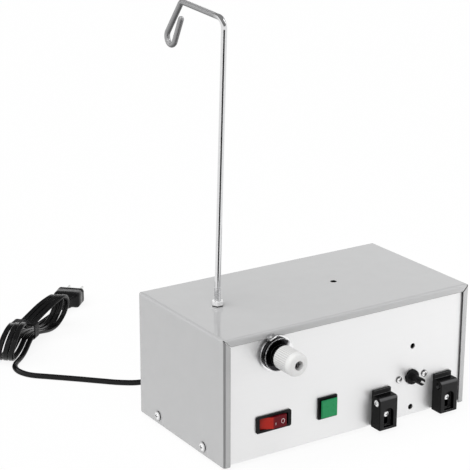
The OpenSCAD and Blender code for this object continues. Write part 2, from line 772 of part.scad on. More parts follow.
// Rocker with a raised ridge, tilted with its left end pressed in
module power_rocker() {
  end_h = rocker_ridge - rocker_l * tan(rocker_slope);
  skirt = end_h - 2.5;
  foot_w = 2.2;
  foot_z = rocker_pivot - 2.6;
  color([0.72, 0.08, 0.08]) on_front(switch_x, switch_top) translate([0, 0, rocker_pivot])
    rotate([0, -rocker_tilt, 0]) translate([0, 0, -rocker_pivot]) rotate([90, 0, 0]) {
      linear_extrude(2 * rocker_half_h, center = true)
        polygon([[-rocker_l, end_h], [-0.4, rocker_ridge], [0.4, rocker_ridge], [rocker_l, end_h],
          [rocker_l - 0.8, skirt], [foot_w, foot_z], [-foot_w, foot_z], [0.8 - rocker_l, skirt]]);
      translate([0, rocker_pivot, 0])
        cylinder(h = switch_body_h - 0.2, r = rocker_pin_r, center = true);
    }
}

module start_button_body() {
  color([0.1, 0.1, 0.11]) on_front(button_x, switch_top) difference() {
    union() {
      linear_extrude(button_bezel_t) round_rect(button_w, button_w, 0.4);
      translate([0, 0, -button_depth]) cylinder(h = button_depth + past, r = button_barrel_r);
      for (s = [-1, 1]) translate([s * 4 - 0.4, -1.4, -button_depth - 6]) cube([0.8, 2.8, 6 + past]);
    }
    translate([0, 0, button_floor]) linear_extrude(button_bezel_t)
      round_rect(button_cap_w + 2 * switch_gap, button_cap_w + 2 * switch_gap, 0.6);
    translate([0, 0, 2 - button_depth]) cylinder(h = button_depth + button_bezel_t, r = button_stem_r + fit_gap);
  }
}

module start_button_nut() {
  color([0.2, 0.2, 0.2]) on_front(button_x, switch_top) translate([0, 0, -chassis_t - 4])
    hex_nut(button_barrel_r * 1.4, 4, button_barrel_r + seat_gap);
}

module start_button_spring() {
  low = 2 - button_depth;
  high = button_plate_back - button_stem_l;
  color([0.7, 0.7, 0.72]) on_front(button_x, switch_top) translate([0, 0, low])
    coil_spring(button_spring_r, button_spring_wire, 4, high - low);
}

module start_button_cap() {
  color([0.12, 0.55, 0.33]) on_front(button_x, switch_top) translate([0, 0, button_plate_back]) {
    linear_extrude(button_plate_t - 0.5) round_rect(button_cap_w, button_cap_w, 0.5);
    translate([0, 0, button_plate_t - 0.5]) linear_extrude(0.5)
      round_rect(button_cap_w - 0.8, button_cap_w - 0.8, 0.4);
    translate([0, 0, -button_stem_l]) cylinder(h = button_stem_l + button_plate_t / 2, r = button_stem_r);
  }
}

// Places along the motor's axis: +Z points out of the panel
module on_motor() {
  on_front(spindle_x, spindle_top) children();
}

module motor_can() {
  color([0.6, 0.61, 0.63]) on_motor() translate([0, 0, motor_face - motor_l]) difference() {
    cylinder(h = motor_l, r = motor_r);
    translate([0, 0, -past]) cylinder(h = motor_l - can_front_t + past, r = motor_r - can_t);
    translate([0, 0, motor_l / 2]) cylinder(h = motor_l, r = bearing_r);
    for (s = [-1, 1]) translate([s * motor_screw_gap / 2, 0, motor_l / 2])
      cylinder(h = motor_l, r = small_screw_r + seat_gap);
  }
}

module motor_end_cap() {
  cap_r = motor_r - can_t - seat_gap;
  color([0.15, 0.15, 0.16]) on_motor() translate([0, 0, motor_face - motor_l]) difference() {
    union() {
      cylinder(h = end_cap_t, r = cap_r);
      translate([0, 0, -3]) cylinder(h = 3 + past, r = bearing_r + 2);
      for (s = [-1, 1]) translate([s * cap_r * 0.65 - 0.4, -2.4, -7]) cube([0.8, 4.8, 7 + past]);
    }
    translate([0, 0, end_cap_t - bearing_l]) cylinder(h = bearing_l + past, r = bearing_r);
    translate([0, 0, -2]) cylinder(h = end_cap_t, r = shaft_r + 0.4);
  }
}

module motor_magnets() {
  outer_r = motor_r - can_t - seat_gap;
  color([0.25, 0.25, 0.26]) on_motor() translate([0, 0, motor_face - motor_l / 2 - armature_l / 2])
    for (a = [0, 180]) rotate(a - 60) rotate_extrude(angle = 120)
      translate([outer_r - magnet_t, 0]) square([magnet_t, armature_l]);
}

module motor_bearings() {
  color([0.7, 0.55, 0.35]) on_motor()
    for (z = [motor_face - bearing_l, motor_face - motor_l + end_cap_t - bearing_l]) translate([0, 0, z])
      difference() {
        cylinder(h = bearing_l, r = bearing_r - seat_gap);
        translate([0, 0, -past]) cylinder(h = bearing_l + 2 * past, r = shaft_r + fit_gap);
      }
}

module motor_screws() {
  color([0.82, 0.82, 0.84]) on_motor() for (s = [-1, 1]) translate([s * motor_screw_gap / 2, 0, 0])
    pan_screw(small_screw_r, chassis_t + can_front_t + 2);
}

module motor_shaft() {
  color([0.8, 0.8, 0.82]) on_motor() translate([0, 0, motor_face - motor_l - 1])
    cylinder(h = shaft_end - motor_face + motor_l + 1, r = shaft_r);
}

// Slotted core that turns between the magnets
module motor_armature() {
  slot_w = 3;
  core_r = armature_r * 0.45;
  color([0.45, 0.3, 0.2]) on_motor() translate([0, 0, motor_face - motor_l / 2 - armature_l / 2]) difference() {
    cylinder(h = armature_l, r = armature_r);
    for (i = [0:armature_slots - 1]) rotate(360 * i / armature_slots)
      translate([core_r, -slot_w / 2, -past]) cube([armature_r, slot_w, armature_l + 2 * past]);
    translate([0, 0, -past]) cylinder(h = armature_l + 2 * past, r = shaft_r + seat_gap);
  }
}

// Split spindle with a collar that sits in the panel's hole
module winding_spindle() {
  color([0.1, 0.1, 0.1]) on_motor() difference() {
    union() {
      translate([0, 0, collar_back]) cylinder(h = collar_t - collar_back, r = collar_r);
      translate([0, 0, collar_t / 2]) cylinder(h = spindle_reach - spindle_tip - collar_t / 2, r = spindle_r);
      translate([0, 0, spindle_reach - spindle_tip])
        cylinder(h = spindle_tip, r1 = spindle_r, r2 = spindle_r - spindle_tip);
    }
    translate([0, 0, collar_back - past]) cylinder(h = shaft_end - collar_back + past, r = shaft_r + seat_gap);
    rotate(spindle_slot_turn) translate([-spindle_r - past, -spindle_slot_w / 2, spindle_reach - spindle_slot_l])
      cube([2 * (spindle_r + past), spindle_slot_w, spindle_slot_l + past]);
    at_set_screw() cylinder(h = collar_r, r = set_screw_r);
  }
}

set_screw_r = 0.8;
module at_set_screw() {
  translate([0, 0, collar_t / 2]) rotate([-90, 0, 0]) translate([0, 0, shaft_r - 0.1]) children();
}

module spindle_set_screw() {
  color([0.3, 0.3, 0.3]) on_motor() at_set_screw()
    translate([0, 0, 0.1]) cylinder(h = collar_r - shaft_r - 0.5, r = set_screw_r - seat_gap);
}

// Sensor block: a back plate, a body with a rounded top edge, an arched pocket
// with a slot for the clamp screw, and a bore for the light; out = side of the
// outer face
module sensor_block(x, out) {
  color([0.13, 0.13, 0.14]) on_front(x, foot_h) difference() {
    union() {
      linear_extrude(sensor_plate_t) intersection() {
        translate([0, sensor_plate_h - sensor_w]) round_rect(sensor_w, 2 * sensor_w, plate_corner_r);
        translate([-sensor_w / 2, 0]) square([sensor_w, sensor_plate_h]);
      }
      translate([-sensor_w / 2, 0, 0]) cube([sensor_w, sensor_h - sensor_round, sensor_plate_t]);
      intersection() {
        rotate([0, 90, 0]) linear_extrude(sensor_w, center = true) {
          translate([sensor_round - sensor_d, 0]) square([sensor_d - sensor_round, sensor_h]);
          translate([-sensor_d, 0]) square([sensor_d, sensor_h - sensor_round]);
          translate([sensor_round - sensor_d, sensor_h - sensor_round]) circle(sensor_round);
        }
        rotate([-90, 0, 0]) linear_extrude(sensor_plate_h) round_rect(sensor_w, 2 * sensor_d, sensor_edge_r);
      }
    }
    translate([0, 0, pocket_floor]) linear_extrude(sensor_d) {
      translate([0, slot_high]) circle(pocket_r);
      translate([-pocket_r, pocket_low]) square([2 * pocket_r, slot_high - pocket_low]);
    }
    translate([0, 0, -past]) linear_extrude(sensor_d) {
      for (y = [slot_low, slot_high]) translate([0, y]) circle(slot_r);
      translate([-slot_r, slot_low]) square([2 * slot_r, slot_high - slot_low]);
    }
    at_light(out) {
      translate([0, 0, -light_l]) cylinder(h = light_l + past, r = light_r + seat_gap);
      translate([0, 0, -sensor_w - past]) cylinder(h = side_screw_l + past, r = small_screw_r + seat_gap);
    }
  }
}

// Axis of a block's light, with z = 0 on the face towards the spindle
module at_light(out) {
  translate([-out * sensor_w / 2, beam_z, beam_d]) rotate([0, -out * 90, 0]) children();
}

module sensor_light(x, out) {
  on_front(x, foot_h) at_light(out) {
    translate([0, 0, -light_l]) cylinder(h = light_l - light_r, r = light_r);
    intersection() {
      translate([0, 0, -light_r - 0.1]) sphere(light_r);
      translate([0, 0, -light_r - 0.1]) cylinder(h = light_r, r = light_r);
    }
  }
}

module sensor_side_screw(x, out) {
  color([0.82, 0.82, 0.84]) on_front(x, foot_h) at_light(out) translate([0, 0, -sensor_w]) mirror([0, 0, 1])
    pan_screw(small_screw_r, side_screw_l - 0.2);
}

module left_sensor_block() {
  sensor_block(left_sensor_x, -1);
}

module right_sensor_block() {
  sensor_block(right_sensor_x, 1);
}

module left_light_emitter() {
  color([0.6, 0.65, 0.75]) sensor_light(left_sensor_x, -1);
}

module right_light_receiver() {
  color([0.2, 0.2, 0.24]) sensor_light(right_sensor_x, 1);
}

module left_sensor_screw() {
  sensor_side_screw(left_sensor_x, -1);
}

module right_sensor_screw() {
  sensor_side_screw(right_sensor_x, 1);
}

module sensor_clamp_screws() {
  color([0.82, 0.82, 0.84]) for (x = [left_sensor_x, right_sensor_x])
    on_front(x, foot_h + clamp_z) translate([0, 0, pocket_floor])
      pan_screw(small_screw_r, pocket_floor + chassis_t + nut_h + 1);
}

module sensor_clamp_nuts() {
  color([0.75, 0.75, 0.77]) for (x = [left_sensor_x, right_sensor_x])
    on_front(x, foot_h + clamp_z) translate([0, 0, -chassis_t - nut_h])
      hex_nut(small_screw_r * 2.1, nut_h, small_screw_r + seat_gap);
}

// Corners of the circuit board's fixing holes
module at_standoffs() {
  for (sx = [-1, 1], sy = [-1, 1])
    translate([board_x + sx * (board_w / 2 - board_inset), board_y + sy * (board_d / 2 - board_inset), 0])
      children();
}

module control_board() {
  color([0.1, 0.35, 0.2]) difference() {
    translate([board_x - board_w / 2, board_y - board_d / 2, board_z]) cube([board_w, board_d, board_t]);
    at_standoffs() translate([0, 0, board_z - past])
      cylinder(h = board_t + 2 * past, r = small_screw_r + screw_gap);
  }
}

module board_standoffs() {
  color([0.85, 0.85, 0.8]) at_standoffs() translate([0, 0, floor_z]) difference() {
    cylinder(h = standoff_h, r = standoff_r);
    translate([0, 0, -past]) cylinder(h = standoff_h + 2 * past, r = small_screw_r + seat_gap);
  }
}

module board_screws() {
  bite = standoff_h / 2 - 0.3;
  color([0.8, 0.8, 0.82]) at_standoffs() {
    translate([0, 0, board_z + board_t]) pan_screw(small_screw_r, board_t + bite);
    translate([0, 0, foot_h]) mirror([0, 0, 1]) pan_screw(small_screw_r, chassis_t + bite);
  }
}

// Laminated core with a wound bobbin
module transformer() {
  color([0.35, 0.35, 0.37]) translate([board_x - transformer_at, board_y, board_z + board_t]) {
    translate([-transformer_w / 2, -transformer_d / 2, 0]) cube([transformer_w, transformer_d, transformer_h]);
    translate([0, 0, transformer_h / 2]) rotate([90, 0, 0])
      linear_extrude(winding_d, center = true) round_rect(winding_w, winding_h, winding_round);
  }
}

module filter_capacitor() {
  cap_r = 6;
  cap_h = 20;
  color([0.15, 0.15, 0.3]) translate([board_x + 12, board_y - 10, board_z + board_t])
    cylinder(h = cap_h, r = cap_r);
}

module relay() {
  body = [19, 15, 15];
  color([0.2, 0.35, 0.6]) translate([board_x + 24, board_y - 2, board_z + board_t]) cube(body);
}

module terminal_block() {
  ways = 4;
  pitch = 5;
  block_d = 8;
  block_h = 10;
  color([0.2, 0.5, 0.3]) translate([board_x + 2, board_y + board_d / 2 - block_d - 1, board_z + board_t])
    difference() {
      cube([ways * pitch, block_d, block_h]);
      for (i = [0:ways - 1]) translate([(i + 0.5) * pitch, block_d / 2, block_h / 2])
        cylinder(h = block_h, r = 1.6);
    }
}

// Tapered strain relief in the back panel
module cord_gland() {
  flange_r = 8;
  tip_r = 4;
  color([0.08, 0.08, 0.08]) translate([gland_x, back_y, gland_z]) rotate([-90, 0, 0]) {
    translate([0, 0, -chassis_t - 3]) cylinder(h = chassis_t + 3 + past, r = gland_hole_r);
    cylinder(h = 2.5, r = flange_r);
    translate([0, 0, 2]) cylinder(h = gland_reach - 2, r1 = gland_hole_r + 0.5, r2 = tip_r);
  }
}

module mains_cord() {
  echo(str("free cord length ", run_length(free_path), " mm"));
  color([0.06, 0.06, 0.06]) tube(free_path, thin_side(free_path, free_across), cord_w / 2, cord_t / 2, 8);
}

module cord_hank() {
  fine = 4;
  turns = concat(hank_loops_path(fine), hank_last_run(fine));
  echo(str("hank least gap ", least_gap(turns, 3 * fold_rings * fine), " mm"));
  echo(str("hank cord length ", run_length(hank_path), " mm"));
  color([0.06, 0.06, 0.06]) tube(hank_path, thin_side(hank_path, hank_across), cord_w / 2, cord_t / 2, 6);
}

// Band round the waist of the hank, set against the strands at its edges
module cord_tie() {
  ring_u = 2 * hank_run / run_rings;
  share = tie_w / 2 / ring_u;
  low = low_v(0) + (low_v(ring_u) - low_v(0)) * share - cord_t / 2 - tie_seat;
  high = high_v(0, 0) + (high_v(0, ring_u) - high_v(0, 0)) * share + cord_t / 2 + tie_seat;
  inner_w = hank_step * hank_loops + cord_w + 2 * tie_gap;
  inner_h = high - low;
  corner = 2;
  color([0.09, 0.09, 0.09]) translate([hank_at[0], hank_at[1], hank_z + (low + high) / 2]) rotate(hank_turn)
    rotate([90, 0, 90]) linear_extrude(tie_w, center = true) difference() {
      round_rect(inner_w + 2 * tie_t, inner_h + 2 * tie_t, corner + tie_t);
      round_rect(inner_w, inner_h, corner);
    }
}

// Places along the plug: +Z points from the cord to the blades
module on_plug() {
  translate(plug_at + cord_w * plug_dir) rotate(plug_turn) rotate([90, 0, 90]) children();
}

// Plug: a neck that widens into a flat rounded head
module plug_body() {
  color([0.07, 0.07, 0.07]) on_plug() {
    hull() {
      linear_extrude(1) round_rect(plug_neck_w, plug_neck_h, 2.5, $fn = 24);
      translate([0, 0, plug_neck_l - 1]) linear_extrude(1)
        round_rect(plug_head_w - 6, plug_head_h - 2, 3, $fn = 24);
    }
    translate([0, 0, plug_neck_l - 0.5]) linear_extrude(plug_head_l + 0.5)
      round_rect(plug_head_w, plug_head_h, 3);
  }
}

module plug_blades() {
  color([0.8, 0.75, 0.6]) on_plug() for (s = [-1, 1])
    translate([s * blade_gap / 2 - blade_t / 2, -blade_w / 2, plug_neck_l + plug_head_l])
      cube([blade_t, blade_w, blade_l]);
}

cover();
chassis();
cover_screws();
rubber_feet();
thread_pole();
pole_nuts();
pole_washers();
tension_base();
tension_stud();
tension_stud_nut();
rear_disc();
front_disc();
disc_presser();
tension_spring();
tension_knob();
power_switch_body();
power_switch_tabs();
power_rocker();
start_button_body();
start_button_nut();
start_button_spring();
start_button_cap();
motor_can();
motor_end_cap();
motor_magnets();
motor_bearings();
motor_screws();
motor_shaft();
motor_armature();
winding_spindle();
spindle_set_screw();
left_sensor_block();
right_sensor_block();
left_light_emitter();
right_light_receiver();
left_sensor_screw();
right_sensor_screw();
sensor_clamp_screws();
sensor_clamp_nuts();
control_board();
board_standoffs();
board_screws();
transformer();
filter_capacitor();
relay();
terminal_block();
cord_gland();
mains_cord();
cord_hank();
cord_tie();
plug_body();
plug_blades();
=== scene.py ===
import json
import math

import bmesh
import bpy
from mathutils import Matrix, Vector
from mathutils.bvhtree import BVHTree


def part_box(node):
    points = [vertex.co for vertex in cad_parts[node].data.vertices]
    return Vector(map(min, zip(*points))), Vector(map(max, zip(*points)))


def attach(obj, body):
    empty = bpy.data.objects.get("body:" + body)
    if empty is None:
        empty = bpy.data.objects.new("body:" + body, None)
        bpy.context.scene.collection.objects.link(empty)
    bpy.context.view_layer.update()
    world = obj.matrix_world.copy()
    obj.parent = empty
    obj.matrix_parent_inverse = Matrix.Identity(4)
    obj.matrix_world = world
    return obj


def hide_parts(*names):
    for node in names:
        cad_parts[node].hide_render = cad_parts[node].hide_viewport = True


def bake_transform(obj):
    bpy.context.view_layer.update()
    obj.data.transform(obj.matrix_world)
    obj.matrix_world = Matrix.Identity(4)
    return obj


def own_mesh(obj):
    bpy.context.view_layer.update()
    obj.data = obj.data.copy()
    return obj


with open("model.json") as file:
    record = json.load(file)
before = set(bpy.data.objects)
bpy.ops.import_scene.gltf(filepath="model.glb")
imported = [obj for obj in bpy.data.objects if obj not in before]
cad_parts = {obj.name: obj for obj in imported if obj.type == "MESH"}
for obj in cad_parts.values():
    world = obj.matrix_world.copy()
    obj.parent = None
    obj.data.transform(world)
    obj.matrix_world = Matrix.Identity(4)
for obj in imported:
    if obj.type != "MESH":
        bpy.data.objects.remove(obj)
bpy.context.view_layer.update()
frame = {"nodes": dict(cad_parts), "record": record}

nodes = frame["nodes"]
slots = {row["node"]: row["material_slot"] for row in frame["record"]["subparts"]}
scene = bpy.context.scene
MM = 0.001
UP = Vector((0, 0, 1))


# Small helpers
def smooth(t):
    return t * t * (3 - 2 * t)


def linear(*rgb):
    """Screen colour values from 0 to 255 as shader values."""
    return tuple(((c / 255 + 0.055) / 1.055) ** 2.4 if c > 10 else c / 255 / 12.92 for c in rgb)


def shade(colour, factor):
    return tuple(min(1.0, c * factor) for c in colour)


def add_mesh(name, verts, faces, material, body, smooth_shade=True):
    """A new piece from points in millimetres. One that bends between bodies has none of its own."""
    mesh = bpy.data.meshes.new(name)
    mesh.from_pydata([tuple(c * MM for c in v) for v in verts], [], faces)
    mesh.validate()
    bm = bmesh.new()
    bm.from_mesh(mesh)
    bmesh.ops.recalc_face_normals(bm, faces=bm.faces)
    bm.to_mesh(mesh)
    bm.free()
    for p in mesh.polygons:
        p.use_smooth = smooth_shade
    mesh.materials.append(material)
    piece = bpy.data.objects.new(name, mesh)
    scene.collection.objects.link(piece)
    if body:
        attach(piece, body)
    return piece


def loft(rings, closed=False, caps=True):
    """Points and faces of a skin over rings of equal count."""
    count = len(rings[0])
    verts = [p for ring in rings for p in ring]
    faces = []
    steps = len(rings) if closed else len(rings) - 1
    for i in range(steps):
        a = i * count
        b = (i + 1) % len(rings) * count
        for k in range(count):
            m = (k + 1) % count
            faces.append((a + k, a + m, b + m, b + k))
    if caps and not closed:
        faces.append(tuple(range(count)))
        faces.append(tuple(range(len(verts) - count, len(verts))))
    return verts, faces


# Materials
def new_material(name):
    mat = bpy.data.materials.new(name)
    mat.use_nodes = True
    mat.node_tree.nodes.clear()
    return mat


class Tree:
    """Adds shader nodes and links in one line."""

    def __init__(self, tree):
        self.tree = tree

    def add(self, kind, settings=None, **inputs):
        node = self.tree.nodes.new(kind)
        for key, value in (settings or {}).items():
            setattr(node, key, value)
        for key, value in inputs.items():
            self.put(node, key.replace("_", " "), value)
        return node

    def put(self, node, socket, value):
        if isinstance(socket, str):
            socket = {s.name.lower(): s for s in reversed(node.inputs)}[socket.lower()]
        else:
            socket = node.inputs[socket]
        if isinstance(value, bpy.types.NodeSocket):
            self.tree.links.new(value, socket)
        elif socket.type == "RGBA":
            socket.default_value = tuple(value)[:3] + (1.0,)
        else:
            socket.default_value = value

    def maths(self, operation, *values):
        node = self.add("ShaderNodeMath", {"operation": operation})
        for i, value in enumerate(values):
            self.put(node, i, value)
        return node.outputs["Value"]

    def offset(self, place, origin):
        node = self.add("ShaderNodeVectorMath", {"operation": "SUBTRACT"})
        self.put(node, 0, place)
        self.put(node, 1, origin)
        return node.outputs["Vector"]

    def dot(self, a, b):
        node = self.add("ShaderNodeVectorMath", {"operation": "DOT_PRODUCT"})
        self.put(node, 0, a)
        self.put(node, 1, b)
        return node.outputs["Value"]

    def share(self, value, begin, end, low=0.0, high=1.0):
        """How far a value has come from begin to end, as a value from low to high."""
        node = self.add("ShaderNodeMapRange", Value=value)
        self.put(node, "From Min", begin)
        self.put(node, "From Max", end)
        self.put(node, "To Min", low)
        self.put(node, "To Max", high)
        return node.outputs["Result"]

    def mix(self, share, before, after, kind="RGBA"):
        """Before at a share of 0, after at 1: two colours, or two values for the kind FLOAT."""
        first, result = {"RGBA": (6, 2), "FLOAT": (2, 0)}[kind]
        node = self.add("ShaderNodeMix", {"data_type": kind})
        self.put(node, 0, share)
        self.put(node, first, before)
        self.put(node, first + 1, after)
        return node.outputs[result]

    def mix_shaders(self, share, before, after):
        node = self.add("ShaderNodeMixShader")
        self.put(node, 0, share)
        self.put(node, 1, before)
        self.put(node, 2, after)
        return node.outputs["Shader"]


# Values at which each mask of a surface begins and is full
NOISE_SPAN = (0.3, 0.7)
FOLD_SHADE_SPAN = (0.25, 0.42)
INNER_SHADE_SPAN = (0.002, -0.002)
GROOVE_SHADE_SPAN = (0.95, 0.6)
EDGE_WEAR_AND_LIGHT_SPAN = (0.985, 0.8)
HIGHLIGHT_SIDE_SPAN = (0.75, 0.9)
GROOVE_SAMPLES, EDGE_SAMPLES = 8, 4
BROAD_NOISE = {"Detail": 4.0, "Roughness": 0.6}
FINE_NOISE = {"Detail": 2.0, "Roughness": 0.5}


def surface(name, colour, spread=0.05, metallic=0.0, rough=(0.3, 0.4), grain=300.0, stretch=(1, 1, 1),
            bump_scale=1500.0, bump=0.00002, edge=None, edge_r=0.0004, edge_highlight_towards=None, light_fade=None,
            facing_light=(), fold=None, inner_shade=None, crease_shade=None, sockets=None):
    """A procedural surface: colour and roughness from noise, a fine bump and softened edges.

    edge: the colour and the amount of the change along edges: on some looks wear, on some a painted
    highlight, on others painted shade
    edge_highlight_towards: the direction that the edges with a painted highlight look in, where not all
    edges get it
    light_fade: painted light and shade along a direction: a place, a direction as long as the change takes,
    the colour and roughness at its end
    facing_light: painted light and shade by the way a face looks: rows of a direction, the two shares of it
    in the normal between which the colour changes, that colour, and whether the opposite direction counts
    too
    fold: painted shade, the darker colour of the upright round folds between the front and the sides
    inner_shade: the middle of a hollow part and the colour of the faces that look towards it, a painted
    shade
    crease_shade: the colour of narrow grooves and the reach in which they are felt, a painted shade
    sockets: more values of the shader by name"""
    mat = new_material(name)
    t = Tree(mat.node_tree)
    coord = t.add("ShaderNodeTexCoord")
    place, normal = coord.outputs["Object"], coord.outputs["Normal"]
    laid = t.add("ShaderNodeMapping", Vector=place, Scale=stretch).outputs["Vector"]
    broad = t.add("ShaderNodeTexNoise", Vector=laid, Scale=grain, **BROAD_NOISE).outputs["Fac"]
    fine = t.add("ShaderNodeTexNoise", Vector=laid, Scale=bump_scale, **FINE_NOISE).outputs["Fac"]
    ramp = t.add("ShaderNodeValToRGB", Fac=broad)
    for i, factor in enumerate((1 - spread, 1 + spread)):
        ramp.color_ramp.elements[i].position = NOISE_SPAN[i]
        ramp.color_ramp.elements[i].color = shade(colour, factor) + (1.0,)
    colour_out = ramp.outputs["Color"]
    rough_out = t.share(broad, *NOISE_SPAN, *rough)
    # Painted light and shade: the colour changes along a direction fixed to the part
    if light_fade:
        origin, towards, end_colour, end_rough = light_fade
        per_length = tuple(Vector(towards) / Vector(towards).length_squared)
        light_share = t.share(t.dot(t.offset(place, origin), per_length), 0.0, 1.0)
        colour_out = t.mix(light_share, colour_out, end_colour)
        rough_out = t.mix(light_share, rough_out, end_rough, "FLOAT")
    # Painted light and shade: another colour on faces that look in a given direction
    for direction, begin, end, facing_light_colour, both_ways in facing_light:
        facing = t.dot(normal, direction)
        if both_ways:
            facing = t.maths("ABSOLUTE", facing)
        colour_out = t.mix(t.share(facing, begin, end), colour_out, facing_light_colour)
    # Painted shade along the upright round folds of the sheet
    if fold:
        parts = t.add("ShaderNodeSeparateXYZ", Vector=normal).outputs
        bend = t.maths("ABSOLUTE", t.maths("MULTIPLY", parts["X"], parts["Y"]))
        colour_out = t.mix(t.share(bend, *FOLD_SHADE_SPAN), colour_out, fold)
    # Painted shade on faces that look into the hollow part, such as the cut edges of the cover's flanges
    if inner_shade:
        middle, inward_shade = inner_shade
        outward = t.dot(t.offset(place, middle), normal)
        colour_out = t.mix(t.share(outward, *INNER_SHADE_SPAN), colour_out, inward_shade)
    # Painted shade: darker where the part's own faces close round a point, as in grooves
    if crease_shade:
        groove_shade, groove_reach = crease_shade
        hollow = t.add("ShaderNodeAmbientOcclusion", {"samples": GROOVE_SAMPLES, "only_local": True},
                       Distance=groove_reach)
        colour_out = t.mix(t.share(hollow.outputs["AO"], *GROOVE_SHADE_SPAN), colour_out, groove_shade)
    rounded = t.add("ShaderNodeBevel", {"samples": EDGE_SAMPLES}, Radius=edge_r).outputs["Normal"]
    # Edges take another colour: on some looks wear, on some a painted highlight, on others painted shade
    if edge:
        edge_wear_and_light, amount = edge
        flat = t.add("ShaderNodeNewGeometry").outputs["Normal"]
        worn_and_lit_share = t.share(t.dot(rounded, flat), *EDGE_WEAR_AND_LIGHT_SPAN, 0.0, amount)
        # On some looks only the edges that look in one direction get a painted highlight
        if edge_highlight_towards:
            facing = t.share(t.dot(rounded, edge_highlight_towards), *HIGHLIGHT_SIDE_SPAN)
            worn_and_lit_share = t.maths("MULTIPLY", worn_and_lit_share, facing)
        colour_out = t.mix(worn_and_lit_share, colour_out, edge_wear_and_light)
    relief = t.add("ShaderNodeBump", Height=fine, Normal=rounded, Strength=1.0, Distance=bump)
    shader = t.add("ShaderNodeBsdfPrincipled")
    t.put(shader, "Base Color", colour_out)
    t.put(shader, "Roughness", rough_out)
    t.put(shader, "Normal", relief.outputs["Normal"])
    shader.inputs["Metallic"].default_value = metallic
    for key, value in (sockets or {}).items():
        shader.inputs[key].default_value = value
    t.put(t.add("ShaderNodeOutputMaterial"), "Surface", shader.outputs["BSDF"])
    return mat


# Lighter colours for the edges of bright metal: painted highlight
WHITE_EDGE_GLINT = linear(235, 236, 238)
PALE_EDGE_GLINT = linear(250, 250, 250)
MILKY = {"Subsurface Weight": 0.08, "Subsurface Scale": 0.0006, "Subsurface Radius": (1.0, 0.9, 0.8)}
looks = {
    # Cover paint: the dark edges, the dark faces that look inwards and the darker folds are painted shade
    "grey_paint": surface("grey_paint", (0.436, 0.437, 0.44), spread=0.015, rough=(0.08, 0.12), grain=60,
                          bump_scale=700, bump=0.000001, edge=((0.03, 0.03, 0.031), 0.85), edge_r=0.0007,
                          inner_shade=((0, 0, 0.05), (0.008, 0.008, 0.0085)), fold=(0.2, 0.2, 0.202)),
    "aluminium": surface("aluminium", (0.868, 0.868, 0.87), spread=0.006, metallic=0.85, rough=(0.36, 0.42),
                         grain=900, stretch=(0.03, 1, 1), bump_scale=1800, bump=0.0000003,
                         edge=(PALE_EDGE_GLINT, 0.3)),
    "bright_steel": surface("bright_steel", (0.74, 0.74, 0.75), spread=0.08, metallic=1.0,
                            rough=(0.08, 0.16), grain=900, bump_scale=3000, bump=0.000002,
                            edge=(WHITE_EDGE_GLINT, 0.4), edge_r=0.00025),
    "plated_wire": surface("plated_wire", (0.76, 0.765, 0.775), spread=0.05, metallic=1.0, rough=(0.04, 0.1),
                           grain=500, bump_scale=900, bump=0.000002, edge=(WHITE_EDGE_GLINT, 0.2), edge_r=0.0003),
    "dark_steel": surface("dark_steel", (0.035, 0.035, 0.037), spread=0.15, metallic=1.0, rough=(0.2, 0.36),
                          grain=1200, bump_scale=3500, bump=0.000005, edge=((0.12, 0.12, 0.125), 0.5)),
    "black_plastic": surface("black_plastic", (0.007, 0.007, 0.0075), spread=0.2, rough=(0.36, 0.5),
                             grain=900, bump_scale=3500, bump=0.00001, edge=((0.03, 0.03, 0.032), 0.5),
                             sockets={"Specular IOR Level": 0.13}),
    "white_plastic": surface("white_plastic", (0.7, 0.7, 0.695), spread=0.03, rough=(0.3, 0.42), grain=500,
                             bump_scale=2500, bump=0.000004, edge=((0.8, 0.8, 0.8), 0.4), edge_r=0.0001,
                             sockets=MILKY),
    # Red rocker: faces that look left are a lighter red than the rest, painted light
    "red_plastic": surface("red_plastic", (0.115, 0.003, 0.008), spread=0.1, rough=(0.14, 0.24), grain=600,
                           bump_scale=2500, bump=0.000003, edge=((0.5, 0.06, 0.05), 0.4),
                           facing_light=[((-1, 0, 0), 0.1, 0.4, (0.385, 0.018, 0.011), False)],
                           sockets={"Specular IOR Level": 0.14}),
    "green_plastic": surface("green_plastic", (0.012, 0.25, 0.085), spread=0.08, rough=(0.25, 0.38),
                             grain=700, bump_scale=3000, bump=0.000005, edge=((0.06, 0.42, 0.2), 0.5),
                             edge_r=0.0003, sockets={"Specular IOR Level": 0.25}),
    "lens_plastic": surface("lens_plastic", (0.005, 0.005, 0.006), spread=0.2, rough=(0.2, 0.3), grain=500,
                            bump_scale=2000, bump=0.000002, sockets={"Specular IOR Level": 0.17}),
    "brass": surface("brass", (0.62, 0.47, 0.22), spread=0.1, metallic=1.0, rough=(0.2, 0.34), grain=800,
                     stretch=(1, 1, 0.1), bump_scale=3000, bump=0.000004, edge=((0.85, 0.75, 0.5), 0.4)),
    "magnet": surface("magnet", (0.09, 0.088, 0.085), spread=0.25, metallic=0.4, rough=(0.5, 0.7), grain=700,
                      bump_scale=2200, bump=0.00003, edge=((0.2, 0.2, 0.2), 0.4)),
    "board_laminate": surface("board_laminate", (0.012, 0.1, 0.035), spread=0.2, rough=(0.25, 0.4),
                              grain=400, bump_scale=1500, bump=0.00001, edge=((0.25, 0.22, 0.1), 0.5)),
    "foot_rubber": surface("foot_rubber", (0.022, 0.022, 0.022), spread=0.25, rough=(0.6, 0.8), grain=900,
                           bump_scale=2500, bump=0.00003, edge=((0.06, 0.06, 0.06), 0.4)),
    "cord_rubber": surface("cord_rubber", (0.005, 0.005, 0.0054), spread=0.2, rough=(0.16, 0.26), grain=500,
                           bump_scale=2200, bump=0.000006, edge_r=0.0002,
                           sockets={"Specular IOR Level": 0.19}),
}
print_white = surface("print_white", (0.8, 0.64, 0.65), spread=0.05, rough=(0.3, 0.45), grain=1500,
                      bump_scale=4000, bump=0.000003)

# Looks of single nodes
FRONT_TOP = (0, -0.7071, 0.7071)
